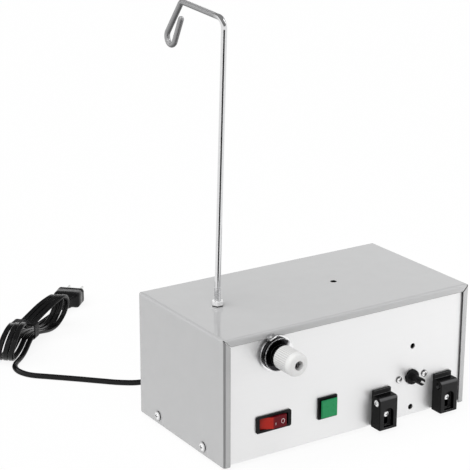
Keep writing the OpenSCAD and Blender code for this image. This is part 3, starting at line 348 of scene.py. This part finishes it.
# Side of the tension stud's axis, and from where and over how far, where the front disc's painted reflection
# turns light
TENSION_AXIS = Vector((-0.0695, 0, 0.085))
BRIGHT_SIDE = Vector((0.95, 0, -0.31))
BRIGHT_FROM, BRIGHT_OVER = 0.004, 0.003
DARK_RIM_SHADE = (0.02, 0.02, 0.021)
# Front disc: dark with white rims, a painted reflection
disc_reflection_look = surface("disc_painted_reflection", (0.03, 0.03, 0.032), spread=0.3, metallic=1.0, rough=(0.05, 0.1),
                    grain=700, bump_scale=2500, bump=0.000002, edge=((0.96, 0.96, 0.97), 1.0), edge_r=0.0012,
                    light_fade=(TENSION_AXIS + BRIGHT_FROM * BRIGHT_SIDE, BRIGHT_OVER * BRIGHT_SIDE,
                          (0.9, 0.9, 0.91), 0.08))
# Tension base: bright, with dark edges that are painted shade
base_shaded_edge_look = surface("base_plate", (0.92, 0.92, 0.93), spread=0.06, metallic=1.0, rough=(0.05, 0.12),
                    grain=700, bump_scale=2500, bump=0.000002, edge=((0.12, 0.12, 0.125), 0.9),
                    edge_r=0.0003)
# Tension stud: dark with white edges, a painted reflection
stud_reflection_look = surface("stud_plate", (0.11, 0.11, 0.115), spread=0.3, metallic=1.0, rough=(0.05, 0.1),
                    grain=700, bump_scale=2500, bump=0.000002, edge=((0.95, 0.95, 0.96), 1.0), edge_r=0.0005)
# Thread pole: darker along the arm, light on faces that look up and dark on faces that look down, painted
# reflection and shade
pole_reflection_look = surface("pole_painted_reflection", (0.72, 0.722, 0.728), spread=0.05, metallic=1.0, rough=(0.04, 0.08),
                    grain=500, bump_scale=900, bump=0.000002, edge_r=0.0003,
                    light_fade=((0, 0.007, 0), (0, 0.009, 0), (0.36, 0.36, 0.365), 0.36),
                    facing_light=[((0, 0, 1), 0.2, 0.8, (0.95, 0.95, 0.96), False),
                            ((0, 0, -1), 0.1, 0.6, (0.14, 0.14, 0.142), False)])
# Pole nuts: dark edges and a dark foot, a painted shadow
nut_shadow_look = surface("nut_painted_shadow", (0.95, 0.95, 0.955), spread=0.05, metallic=0.3, rough=(0.2, 0.3), grain=900,
                   bump_scale=3000, bump=0.000002, edge=((0.3, 0.3, 0.305), 0.6), edge_r=0.0003,
                   light_fade=((0, 0, 0.1042), (0, 0, -0.0004), (0.015, 0.015, 0.016), 0.3))
# Motor and clamp screws: dark edges, dark sides and dark slots, painted shade
screw_rim_shade_look = surface("screw_plate", (0.9, 0.9, 0.905), spread=0.06, metallic=1.0, rough=(0.1, 0.2),
                     grain=900, bump_scale=3000, bump=0.000002, edge=(DARK_RIM_SHADE, 1.0), edge_r=0.0004,
                     facing_light=[((0, -1, 0), 0.88, 0.7, DARK_RIM_SHADE, False)], crease_shade=(DARK_RIM_SHADE, 0.001))
# Cover and sensor screws: faces that don't look straight out and narrow grooves are dark, painted shade
cover_screw_dark_rim_look = surface("cover_screw_plate", (0.93, 0.93, 0.935), spread=0.06, metallic=0.75,
                           rough=(0.2, 0.3), grain=900, bump_scale=3000, bump=0.000002, edge_r=0.0003,
                           facing_light=[((1, 0, 0), 0.9, 0.7, (0.09, 0.09, 0.092), True)],
                           crease_shade=((0.04, 0.04, 0.042), 0.001))
blade_look = surface("blade_plate", (0.9, 0.9, 0.89), spread=0.05, metallic=0.6, rough=(0.3, 0.4), grain=900,
                     bump_scale=3000, bump=0.000002, edge=(WHITE_EDGE_GLINT, 0.3), edge_r=0.0003)
# Tension knob: darker in its flutes, a painted shade
knob_groove_shade_look = surface("fluted_knob", (0.71, 0.71, 0.705), spread=0.03, rough=(0.3, 0.42), grain=500,
                    bump_scale=2500, bump=0.000004, edge=((0.8, 0.8, 0.8), 0.4), edge_r=0.0001,
                    crease_shade=((0.12, 0.12, 0.118), 0.0008), sockets=MILKY)
# Sensor blocks: lighter front faces, lighter top front edges and a lighter band on the top front fillet,
# painted light
block_lit_look = surface("block_plastic_painted_light", (0.003, 0.003, 0.0032), spread=0.2, rough=(0.2, 0.28), grain=900,
                     bump_scale=3500, bump=0.000006, edge=((0.13, 0.13, 0.132), 1.0), edge_r=0.0009,
                     edge_highlight_towards=FRONT_TOP,
                     facing_light=[((0, -1, 0), 0.5, 0.9, (0.021, 0.021, 0.0215), False),
                             (FRONT_TOP, 0.87, 0.97, (0.085, 0.085, 0.087), False)],
                     sockets={"Specular IOR Level": 0.075})
own_looks = {
    "tension_base": base_shaded_edge_look,
    "tension_stud": stud_reflection_look,
    "tension_knob": knob_groove_shade_look,
    # The rear disc takes the dark steel colour as painted shade
    "rear_disc": looks["dark_steel"],
    "front_disc": disc_reflection_look,
    "thread_pole": pole_reflection_look,
    "pole_nuts": nut_shadow_look,
    "cover_screws": cover_screw_dark_rim_look,
    "motor_screws": screw_rim_shade_look,
    "sensor_clamp_screws": screw_rim_shade_look,
    "left_sensor_block": block_lit_look,
    "right_sensor_block": block_lit_look,
    "left_sensor_screw": cover_screw_dark_rim_look,
    "right_sensor_screw": cover_screw_dark_rim_look,
    "plug_blades": blade_look,
}

for node, slot in slots.items():
    for place in nodes[node].material_slots:
        place.material = own_looks.get(node, looks[slot])


# Mains cord: the route of the part's source, in millimetres
CORD_W, CORD_T = 4.8, 2.8
CORD_CORE_STEPS = 9
FLOOR_GAP = 0.03
GLAND_TIP = (-20, 76, 14)
ROUTE = [(-20, 81, 14), (-21, 90, 12.6), (-26, 99, 9.6), (-35, 106, 6.2), (-48, 110, 3.6), (-62, 111, 2.45),
         (-76, 111, 2.45), (-88.5, 113, 2.45), (-100.5, 121, 2.45), (-112.5, 132.5, 2.45), (-125, 145, 2.45),
         (-137, 156.5, 2.45), (-147, 166, 2.45), (-152.5, 171.2, 2.45), (-156.2, 176.2, 2.4),
         (-158.8, 182, 2.3), (-159.9, 188.4, 2.2), (-159.3, 194.9, 2.05), (-157.3, 200.6, 1.85)]
ROUTE_STEP = 2.0
TWIST_POINTS = 8
TAIL_STEPS, TAIL_NEAR = 16, 0.01
END_SHARES = (0.5, 1)
HANK_AT = (-124.8, 248)
HANK_TURN, HANK_BEND, HANK_ARC, HANK_RUN = 41, 6, 16, 39.5
HANK_LOOPS, HANK_R, HANK_GROW = 3, 14.6, 0.35
HANK_SAG, HANK_WAIST = 3.4, 4.5
HANK_STEP, HANK_LEAN = 5.5, 0.29
HANK_WAVE, HANK_WAVE_L, HANK_WAVE_TURN = 0.32, 8.0, 1.9
HANK_LIFT = 0.1
HANK_Z = CORD_T / 2 + HANK_LIFT
RUN_RINGS, FOLD_RINGS = 28, 18
PLUG_TURN, PLUG_PLACE = 46, (-68.1, 293.1)
PLUG_NECK_L, PLUG_NECK_W, PLUG_NECK_H = 17, 9, 8
PLUG_HEAD_L, PLUG_HEAD_W, PLUG_HEAD_H = 16, 25, 14
PLUG_AXIS_Z = PLUG_HEAD_H / 2
WAIST_V = HANK_R - HANK_SAG


def pinch(u):
    return math.cos(math.pi / 2 * min(1, abs(u) / HANK_RUN)) ** 2


def fold_r(n):
    return HANK_R + HANK_GROW * (HANK_LOOPS - 1 - n)


def low_v(u):
    return (WAIST_V - HANK_WAIST) * pinch(u)


def high_v(n, u):
    return 2 * fold_r(n) + (WAIST_V + HANK_WAIST - 2 * fold_r(n)) * pinch(u)


def level_w(level):
    return HANK_STEP * (level - HANK_LOOPS / 2)


def loose_w(u, level):
    """Place of a strand across the hank, with the small waves of a hand-folded cord."""
    wave = math.sin(u / HANK_WAVE_L + HANK_WAVE_TURN * level)
    return level_w(level) + HANK_WAVE * wave * (1 - pinch(u))


def heading(u):
    return math.radians(HANK_TURN - HANK_BEND * max(-1, min(1, u / HANK_ARC)))


def across(angle):
    return Vector((math.sin(angle), -math.cos(angle), 0))


def on_hank(u, v, w):
    """A place on the hank: u along it, v up and w across."""
    k = max(-HANK_ARC, min(HANK_ARC, u))
    a = math.radians(HANK_BEND) * k / HANK_ARC
    r = HANK_ARC / math.radians(HANK_BEND)
    along = r * math.sin(a) + (u - k) * math.cos(a)
    left = r * (math.cos(a) - 1) - (u - k) * math.sin(a)
    turn = math.radians(HANK_TURN)
    x = HANK_AT[0] + along * math.cos(turn) - left * math.sin(turn)
    y = HANK_AT[1] + along * math.sin(turn) + left * math.cos(turn)
    lean = HANK_LEAN * smooth(min(1, abs(u) / HANK_RUN))
    return Vector((x, y, HANK_Z + v)) + (w + lean * v) * across(heading(u))


def hank_places():
    """Places along the folded cord, from where it comes in to the end of its last run."""
    places = []
    for share in reversed(END_SHARES):
        u = -HANK_RUN - share * CORD_W
        places.append((u, 0, loose_w(u, HANK_LOOPS)))
    for n in range(HANK_LOOPS):
        high, r = HANK_LOOPS - n, fold_r(n)
        for k in range(RUN_RINGS):
            u = HANK_RUN * (2 * k / RUN_RINGS - 1)
            places.append((u, low_v(u), loose_w(u, high)))
        for k in range(FOLD_RINGS):
            a = math.pi * (k / FOLD_RINGS - 0.5)
            u = HANK_RUN + r * math.cos(a)
            places.append((u, r + r * math.sin(a), loose_w(u, high)))
        for k in range(RUN_RINGS):
            u = HANK_RUN * (1 - 2 * k / RUN_RINGS)
            places.append((u, high_v(n, u), loose_w(u, high - smooth(k / RUN_RINGS))))
        for k in range(FOLD_RINGS):
            a = math.pi * (k / FOLD_RINGS + 0.5)
            u = -HANK_RUN + r * math.cos(a)
            places.append((u, r + r * math.sin(a), loose_w(u, high - 1)))
    for k in range(RUN_RINGS + 1):
        u = HANK_RUN * (2 * k / RUN_RINGS - 1)
        places.append((u, low_v(u), loose_w(u, 0)))
    return places


def level_dir(angle):
    return Vector((math.cos(angle), math.sin(angle), 0))


def tail_point(t):
    """Curve from the last run to the plug that meets both directions."""
    start, end = on_hank(HANK_RUN, 0, loose_w(HANK_RUN, 0)), Vector(PLUG_PLACE + (PLUG_AXIS_Z,))
    length = (end - start).length
    bow = (1 - t) * level_dir(heading(HANK_RUN)) - t * level_dir(math.radians(PLUG_TURN))
    return smooth(1 - t) * start + smooth(t) * end + length * t * (1 - t) * bow


def tail_across(t):
    d = tail_point(t + TAIL_NEAR) - tail_point(t - TAIL_NEAR)
    return Vector((d.y, -d.x, 0)).normalized()


def curve_through(points, wides, step):
    """Points every step or so on a smooth curve through the given ones, with the
    direction of the flat section's width carried along."""
    out, out_wide = [], []
    for i in range(len(points) - 1):
        p0, p1 = points[max(i - 1, 0)], points[i]
        p2, p3 = points[i + 1], points[min(i + 2, len(points) - 1)]
        m1, m2 = (p2 - p0) / 2, (p3 - p1) / 2
        count = max(1, round((p2 - p1).length / step))
        for k in range(count):
            t = k / count
            out.append((2 * t ** 3 - 3 * t ** 2 + 1) * p1 + (t ** 3 - 2 * t ** 2 + t) * m1
                       + (3 * t ** 2 - 2 * t ** 3) * p2 + (t ** 3 - t ** 2) * m2)
            out_wide.append(wides[i].lerp(wides[i + 1], t).normalized())
    return out, out_wide


def cord_line():
    """Points along the whole cord and the direction of its width at each."""
    places = hank_places()
    hank = [on_hank(*p) for p in places]
    hank_wide = [across(heading(p[0])) for p in places]
    lead = (hank[1] - hank[0]).normalized()
    free = [Vector(GLAND_TIP)] + [Vector(p) for p in ROUTE] + [hank[0] - CORD_W * lead, hank[0]]
    last = len(free) - 1
    free_wide = []
    for i in range(last + 1):
        s = smooth(max(0, 1 - (last - i) / TWIST_POINTS))
        free_wide.append(((1 - s) * UP + s * hank_wide[0]).normalized())
    line, wide = curve_through(free, free_wide, ROUTE_STEP)
    line += hank
    wide += hank_wide
    for k in range(1, TAIL_STEPS + 1):
        line.append(tail_point(k / TAIL_STEPS))
        wide.append(tail_across(k / TAIL_STEPS))
    towards = level_dir(math.radians(PLUG_TURN))
    end = line[-1]
    for share in END_SHARES:
        line.append(end + share * CORD_W * towards)
        wide.append(across(math.radians(PLUG_TURN)))
    return line, wide


def twin_section():
    """Outline of two round cores moulded side by side."""
    r = CORD_T / 2
    out = CORD_W / 2 - r
    limit = math.pi - math.acos(out / r)
    arc = [-limit + 2 * limit * k / CORD_CORE_STEPS for k in range(CORD_CORE_STEPS + 1)]
    right = [(out + r * math.cos(a), r * math.sin(a)) for a in arc]
    left = [(-x, -y) for x, y in right]
    return right[:-1] + left[:-1]


def sweep(line, wide, section):
    """The section carried along the line, lifted where it would go into the floor."""
    rings = []
    for i, p in enumerate(line):
        along = (line[min(i + 1, len(line) - 1)] - line[max(i - 1, 0)]).normalized()
        w = (wide[i] - wide[i].dot(along) * along).normalized()
        thin = w.cross(along)
        ring = [p + x * w + y * thin for x, y in section]
        lift = Vector((0, 0, max(0, FLOOR_GAP - min(q.z for q in ring))))
        rings.append([q + lift for q in ring])
    return loft(rings)


cord_points, cord_wide = cord_line()
cord_verts, cord_faces = sweep(cord_points, cord_wide, twin_section())
cord = add_mesh("mains_lead", cord_verts, cord_faces, looks["cord_rubber"], "case")
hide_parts("mains_cord", "cord_hank")


# Plug: a moulded body with a ribbed neck
NECK_RIBS, NECK_RIBS_L, NECK_RIB_DEEP = 5, 12.0, 0.55
NECK_STEPS = NECK_RIBS * 4
NECK_FROM, NECK_R = 0.2, 2.6
NECK_FLARE, NECK_GROW_W, NECK_GROW_H = 0.75, 8, 3.5
NECK_END_LESS, NECK_END_R = 0.8, 2.4
SHOULDER_Z = PLUG_NECK_L - 0.5
FACE_Z = PLUG_NECK_L + PLUG_HEAD_L
# Rows of the place before or behind the shoulder or the face, how much less wide and
# less high than the head the plug is there, and the radius of its corners
SHOULDER_ROWS = [(-2.5, 8, 2.6, 3), (-0.6, 4, 1.4, 3), (0.3, 1.2, 0.5, 3), (1.4, 0, 0, 3)]
FACE_ROWS = [(-5, 0, 0, 3), (-4.6, 0.6, 0.6, 2.8), (-4.2, 0.6, 0.6, 2.8), (-3.8, 0, 0, 3),
             (-0.7, 0, 0, 3), (-0.2, 0.5, 0.5, 2.8), (0, 1.4, 1.4, 2.4)]


def round_rect(w, h, r, per_corner=6):
    points = []
    for cx, cy, start in ((1, 1, 0), (-1, 1, 90), (-1, -1, 180), (1, -1, 270)):
        for k in range(per_corner + 1):
            a = math.radians(start + 90 * k / per_corner)
            points.append((cx * (w / 2 - r) + r * math.cos(a), cy * (h / 2 - r) + r * math.sin(a)))
    return points


plug_dir = level_dir(math.radians(PLUG_TURN))
plug_left = Vector((-plug_dir.y, plug_dir.x, 0))
plug_at = cord_points[-1]


def on_plug(x, y, z):
    return plug_at + x * plug_left + Vector((0, 0, y)) + z * plug_dir


def plug_rings():
    rows = [(0, PLUG_NECK_W - NECK_END_LESS, PLUG_NECK_H - NECK_END_LESS, NECK_END_R)]
    for k in range(1, NECK_STEPS + 1):
        t = k / NECK_STEPS
        s = smooth(t) * NECK_FLARE
        dip = NECK_RIB_DEEP if k % 4 in (2, 3) else 0
        rows.append((NECK_FROM + t * NECK_RIBS_L, PLUG_NECK_W + s * NECK_GROW_W - 2 * dip,
                     PLUG_NECK_H + s * NECK_GROW_H - 2 * dip, NECK_R))
    for start, steps in ((SHOULDER_Z, SHOULDER_ROWS), (FACE_Z, FACE_ROWS)):
        for at, less_w, less_h, r in steps:
            rows.append((start + at, PLUG_HEAD_W - less_w, PLUG_HEAD_H - less_h, r))
    return [[on_plug(x, y, z) for x, y in round_rect(w, h, r)] for z, w, h, r in rows]


plug_verts, plug_faces = loft(plug_rings())
plug = add_mesh("plug_shell", plug_verts, plug_faces, looks["cord_rubber"], "case")
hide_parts("plug_body")


# Tie round the waist of the hank: a flat ribbed band
TIE_W, TIE_T, TIE_R = 9, 1, 2.4
TIE_RIBS = 6
TIE_STEPS = TIE_RIBS * 4
TIE_ROOM_BELOW, TIE_ROOM_ABOVE, TIE_ROOM_ASIDE = 0.2, 0.25, 0.5
TIE_GROOVE_SHARE, TIE_RIM_SHARE = 0.72, 0.5
TIE_PER_CORNER = 8


def tie_profile():
    """Places across the band with the share of its thickness that is there."""
    profile = []
    for k in range(TIE_STEPS + 1):
        rise = 1.0 if k % 4 in (1, 2, 3) else TIE_GROOVE_SHARE
        if k in (0, TIE_STEPS):
            rise = TIE_RIM_SHARE
        profile.append((-TIE_W / 2 + TIE_W * k / TIE_STEPS, rise))
    return profile + [(TIE_W / 2, 0.0), (-TIE_W / 2, 0.0)]


def tie_rings():
    low = low_v(TIE_W / 2) - CORD_T / 2 - TIE_ROOM_BELOW
    high = high_v(0, TIE_W / 2) + CORD_T / 2 + TIE_ROOM_ABOVE
    w = HANK_STEP * HANK_LOOPS + CORD_W + TIE_ROOM_ASIDE
    along = level_dir(math.radians(HANK_TURN))
    side = Vector((-along.y, along.x, 0))
    centre = Vector((HANK_AT[0], HANK_AT[1], HANK_Z + (low + high) / 2))
    inside = round_rect(w, high - low, TIE_R, TIE_PER_CORNER)
    outside = round_rect(w + 2 * TIE_T, high - low + 2 * TIE_T, TIE_R + TIE_T, TIE_PER_CORNER)
    profile = tie_profile()
    rings = []
    for (x0, y0), (x1, y1) in zip(inside, outside):
        rings.append([centre + u * along + (x0 + (x1 - x0) * rise) * side
                      + Vector((0, 0, y0 + (y1 - y0) * rise)) for u, rise in profile])
    return rings


tie_verts, tie_faces = loft(tie_rings(), closed=True)
tie = add_mesh("hank_tie", tie_verts, tie_faces, looks["cord_rubber"], "case")
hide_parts("cord_tie")


# Fine pieces on the case
def ring_of(centre, axis_a, axis_b, r, count):
    return [centre + r * math.cos(a) * axis_a + r * math.sin(a) * axis_b
            for a in (2 * math.pi * k / count for k in range(count))]


GLAND_BACK_Y, GLAND_L, GLAND_BACK_R, GLAND_TIP_R = 62.5, 13.5, 6.0, 4.0
GLAND_RIBS, GLAND_RIB_FROM, GLAND_RIB_STEP = 5, 2.2, 2.2
# Rows of the place along a rib and its rise over the gland's cone
GLAND_RIB_ROWS = [(0, -0.2), (0.25, 0.45), (0.95, 0.45), (1.2, -0.2)]
GLAND_SIDES = 32


def gland_rings():
    rings = []
    for i in range(GLAND_RIBS):
        for offset, rise in GLAND_RIB_ROWS:
            at = GLAND_RIB_FROM + i * GLAND_RIB_STEP + offset
            r = GLAND_BACK_R + (GLAND_TIP_R - GLAND_BACK_R) * at / GLAND_L + rise
            centre = Vector((GLAND_TIP[0], GLAND_BACK_Y + at, GLAND_TIP[2]))
            rings.append(ring_of(centre, Vector((1, 0, 0)), UP, r, GLAND_SIDES))
    return rings


rib_verts, rib_faces = loft(gland_rings(), caps=False)
add_mesh("gland_ribs", rib_verts, rib_faces, looks["cord_rubber"], "case")

POLE_X, POLE_Y, POLE_FOOT_Z = -78.5, 3, 103
THREAD_LOW, THREAD_HIGH, THREAD_PITCH = 4.1, 14.2, 0.8
THREAD_CORE_R, THREAD_RISE, THREAD_SINK = 2.42, 0.24, 0.05
THREAD_ROOT_HALF, THREAD_CREST_HALF = 0.36, 0.06
THREAD_PER_TURN = 28


def thread_rings():
    """Ridge of the thread on the pole's foot, as one helix."""
    steps = int((THREAD_HIGH - THREAD_LOW) / THREAD_PITCH * THREAD_PER_TURN)
    rings = []
    for k in range(steps + 1):
        a = 2 * math.pi * k / THREAD_PER_TURN
        z = POLE_FOOT_Z + THREAD_LOW + THREAD_PITCH * k / THREAD_PER_TURN
        rise = THREAD_RISE * min(1, k / THREAD_PER_TURN, (steps - k) / THREAD_PER_TURN)
        out = Vector((math.cos(a), math.sin(a), 0))
        base = Vector((POLE_X, POLE_Y, z))
        root = base + (THREAD_CORE_R - THREAD_SINK) * out
        crest = base + (THREAD_CORE_R + rise) * out
        rings.append([root - THREAD_ROOT_HALF * UP, crest - THREAD_CREST_HALF * UP,
                      crest + THREAD_CREST_HALF * UP, root + THREAD_ROOT_HALF * UP])
    return rings


thread_verts, thread_faces = loft(thread_rings())
add_mesh("pole_thread", thread_verts, thread_faces, looks["bright_steel"], "case", False)


# Coil springs built in the boxes of the spring nodes
def coil_rings(node, wire, turns, first, last, per_turn=24, sides=10):
    """Rings of a spring's wire in a node's box, from one share of its turns to another.
    The spring starts at the back, and its axis is level."""
    low, high = (Vector(v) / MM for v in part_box(node))
    centre_x, centre_z = (low.x + high.x) / 2, (low.z + high.z) / 2
    radius = (high.x - low.x - wire) / 2
    rise = high.y - low.y - wire
    rings = []
    steps = round(per_turn * turns * (last - first))
    for k in range(steps + 1):
        share = first + (last - first) * k / steps
        a = 2 * math.pi * turns * share
        out = Vector((math.cos(a), 0, math.sin(a)))
        middle = Vector((centre_x, high.y - wire / 2 - rise * share, centre_z)) + radius * out
        rings.append(ring_of(middle, out, Vector((0, 1, 0)), wire / 2, sides))
    return rings


def coil_piece(name, node, wire, turns, first, last, body):
    verts, faces = loft(coil_rings(node, wire, turns, first, last))
    piece = add_mesh(name, verts, faces, looks[slots[node]], body)
    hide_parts(node)
    return piece


TENSION_WIRE, BUTTON_WIRE, SPRING_TURNS = 1.0, 0.7, 4
rear_coil = coil_piece("tension_coil_rear", "tension_spring", TENSION_WIRE, SPRING_TURNS, 0, 0.5, None)
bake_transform(rear_coil)
front_coil = coil_piece("tension_coil_front", "tension_spring", TENSION_WIRE, SPRING_TURNS, 0.5, 1, None)
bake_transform(front_coil)

button_coil = coil_piece("button_coil", "start_button_spring", BUTTON_WIRE, SPRING_TURNS, 0, 1, "case")
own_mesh(button_coil)

# Signs on the rocker
PRINT_SINK, PRINT_RISE = 0.05, 0.07
PRINT_RAY_Y = -0.2
# Place right of and above the switch's middle, radii inside and radii outside
SIGNS = {
    "rocker_ring": ((6.6, 0), (1.15, 1.5), (1.6, 1.95)),
    "rocker_bar": ((0.3, -1), (0.02, 0.7), (0.28, 1.05)),
}


def front_print(name, on_node, outline_in, outline_out, body, material):
    """A thin raised mark between two outlines of x and z, set on a node's front."""
    mesh = nodes[on_node].data
    tree = BVHTree.FromPolygons([v.co.copy() for v in mesh.vertices],
                                [tuple(p.vertices) for p in mesh.polygons])

    def surface_y(x, z):
        hit = tree.ray_cast(Vector((x * MM, PRINT_RAY_Y, z * MM)), Vector((0, 1, 0)))
        return hit[0].y / MM

    rings = []
    for proud, outline in ((-PRINT_SINK, outline_out), (PRINT_RISE, outline_out),
                           (PRINT_RISE, outline_in), (-PRINT_SINK, outline_in)):
        rings.append([(x, surface_y(x, z) - proud, z) for x, z in outline])
    verts, faces = loft(rings, closed=True)
    add_mesh(name, verts, faces, material, body)


def ellipse(cx, cz, rx, rz, count=32):
    return [(cx + rx * math.cos(2 * math.pi * k / count), cz + rz * math.sin(2 * math.pi * k / count))
            for k in range(count)]


switch_low, switch_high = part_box("power_switch_body")
switch_x = (switch_low[0] + switch_high[0]) / 2 / MM
switch_z = (switch_low[2] + switch_high[2]) / 2 / MM
for sign, ((right, above), radii_in, radii_out) in SIGNS.items():
    at = (switch_x + right, switch_z + above)
    front_print(sign, "power_rocker", ellipse(*at, *radii_in), ellipse(*at, *radii_out),
                "rocker", print_white)


# Floor, world, lamps and camera
def white_for_rays(t):
    """1 for camera, glossy and transmission rays, 0 for the rays that light the part."""
    path = t.add("ShaderNodeLightPath")
    total = path.outputs["Is Camera Ray"]
    for name in ("Is Glossy Ray", "Is Transmission Ray"):
        total = t.maths("MAXIMUM", total, path.outputs[name])
    return total


def stage_mesh(name, corners, material):
    """A flat piece of the studio, not of the part."""
    mesh = bpy.data.meshes.new(name)
    mesh.from_pydata(corners, [], [(0, 1, 2, 3)])
    mesh.materials.append(material)
    obj = bpy.data.objects.new(name, mesh)
    scene.collection.objects.link(obj)
    return obj


WHITE = (1, 1, 1)
WORLD_LIGHT = 0.42
world = bpy.data.worlds.new("studio")
scene.world = world
world.use_nodes = True
world.node_tree.nodes.clear()
wt = Tree(world.node_tree)
plain = wt.add("ShaderNodeBackground", Color=WHITE, Strength=WORLD_LIGHT)
white = wt.add("ShaderNodeBackground", Color=WHITE, Strength=1.0)
world_mix = wt.mix_shaders(white_for_rays(wt), plain.outputs["Background"], white.outputs["Background"])
wt.put(wt.add("ShaderNodeOutputWorld"), "Surface", world_mix)

FLOOR_HALF = 6.0
FLOOR_GREY = (0.85, 0.85, 0.85)
FLOOR_WHITE = 0.9
floor_mat = new_material("studio_floor")
ft = Tree(floor_mat.node_tree)
diffuse = ft.add("ShaderNodeBsdfDiffuse", Color=FLOOR_GREY)
glow = ft.add("ShaderNodeEmission", Color=WHITE, Strength=1.0)
floor_share = ft.maths("MULTIPLY", white_for_rays(ft), FLOOR_WHITE)
floor_mix = ft.mix_shaders(floor_share, diffuse.outputs["BSDF"], glow.outputs["Emission"])
ft.put(ft.add("ShaderNodeOutputMaterial"), "Surface", floor_mix)
floor_corners = [(x * FLOOR_HALF, y * FLOOR_HALF, 0) for x, y in ((-1, -1), (1, -1), (1, 1), (-1, 1))]
stage_mesh("studio_floor", floor_corners, floor_mat)

# Corners in metres and brightness of the studio's cards and of its strip light
CARDS = {
    "card_ceiling": ([(-2.0, -2.5, 1.1), (2.0, -2.5, 1.1), (2.0, 1.4, 1.1), (-2.0, 1.4, 1.1)], 0.2),
    "card_back": ([(-0.9, 1.6, 0.42), (0.72, 1.6, 0.42), (0.72, 1.6, 1.3), (-0.9, 1.6, 1.3)], 0.12),
    "strip_light": ([(0.11, -0.35, 1.05), (0.37, 0.07, 1.05), (1.4, -0.55, 1.05), (1.14, -0.97, 1.05)], 1.6),
    "card_front": ([(-0.117, -0.066, 0.002), (-0.116, -0.068, 0.002), (0.2, -3.1, 0.002),
                    (-2.7, -1.68, 0.002)], 0.03),
}


def card(name, corners, brightness):
    """A card or strip light that only shows in reflections."""
    mat = new_material(name)
    ct = Tree(mat.node_tree)
    lit = ct.add("ShaderNodeEmission", Color=WHITE, Strength=brightness)
    ct.put(ct.add("ShaderNodeOutputMaterial"), "Surface", lit.outputs["Emission"])
    obj = stage_mesh(name, corners, mat)
    obj.visible_camera = False
    obj.visible_diffuse = False
    obj.visible_transmission = False
    obj.visible_shadow = False


for card_name, (card_corners, card_brightness) in CARDS.items():
    card(card_name, card_corners, card_brightness)


def lamp(name, kind, energy, backwards):
    """A lamp that shines against the given direction."""
    data = bpy.data.lights.new(name, kind)
    data.energy = energy
    obj = bpy.data.objects.new(name, data)
    obj.rotation_euler = Vector(backwards).to_track_quat("Z", "Y").to_euler()
    scene.collection.objects.link(obj)
    return obj


KEY_ENERGY, KEY_FROM, KEY_SPREAD = 2.6, (-0.505, -0.1, 0.857), 70
FILL_ENERGY, FILL_FROM, FILL_AT, FILL_SIZE = 0.6, (0.27, -0.19, 0.03), (0.36, -0.25, 0.12), 0.2
key = lamp("key", "SUN", KEY_ENERGY, KEY_FROM)
key.data.angle = math.radians(KEY_SPREAD)
fill = lamp("fill", "AREA", FILL_ENERGY, FILL_FROM)
fill.data.size = FILL_SIZE
fill.location = FILL_AT
fill.visible_glossy = False

FOCAL_PIXELS, FRAME_PIXELS, SENSOR = 1601, 470, 36.0
CAMERA_AT = (-0.68275, -0.95687, 0.52666)
CAMERA_TURN, CAMERA_DOWN, CAMERA_ROLL = -32.85, 17.96, 0.12
cam_data = bpy.data.cameras.new("camera")
cam_data.sensor_width = SENSOR
cam_data.lens = FOCAL_PIXELS * SENSOR / FRAME_PIXELS
cam_data.clip_start = 0.05
cam_data.clip_end = 50
camera = bpy.data.objects.new("camera", cam_data)
camera.matrix_world = (Matrix.Translation(CAMERA_AT)
                       @ Matrix.Rotation(math.radians(CAMERA_TURN), 4, "Z")
                       @ Matrix.Rotation(math.radians(90 - CAMERA_DOWN), 4, "X")
                       @ Matrix.Rotation(math.radians(CAMERA_ROLL), 4, "Z"))
scene.collection.objects.link(camera)
scene.camera = camera
scene.view_settings.view_transform = "Standard"
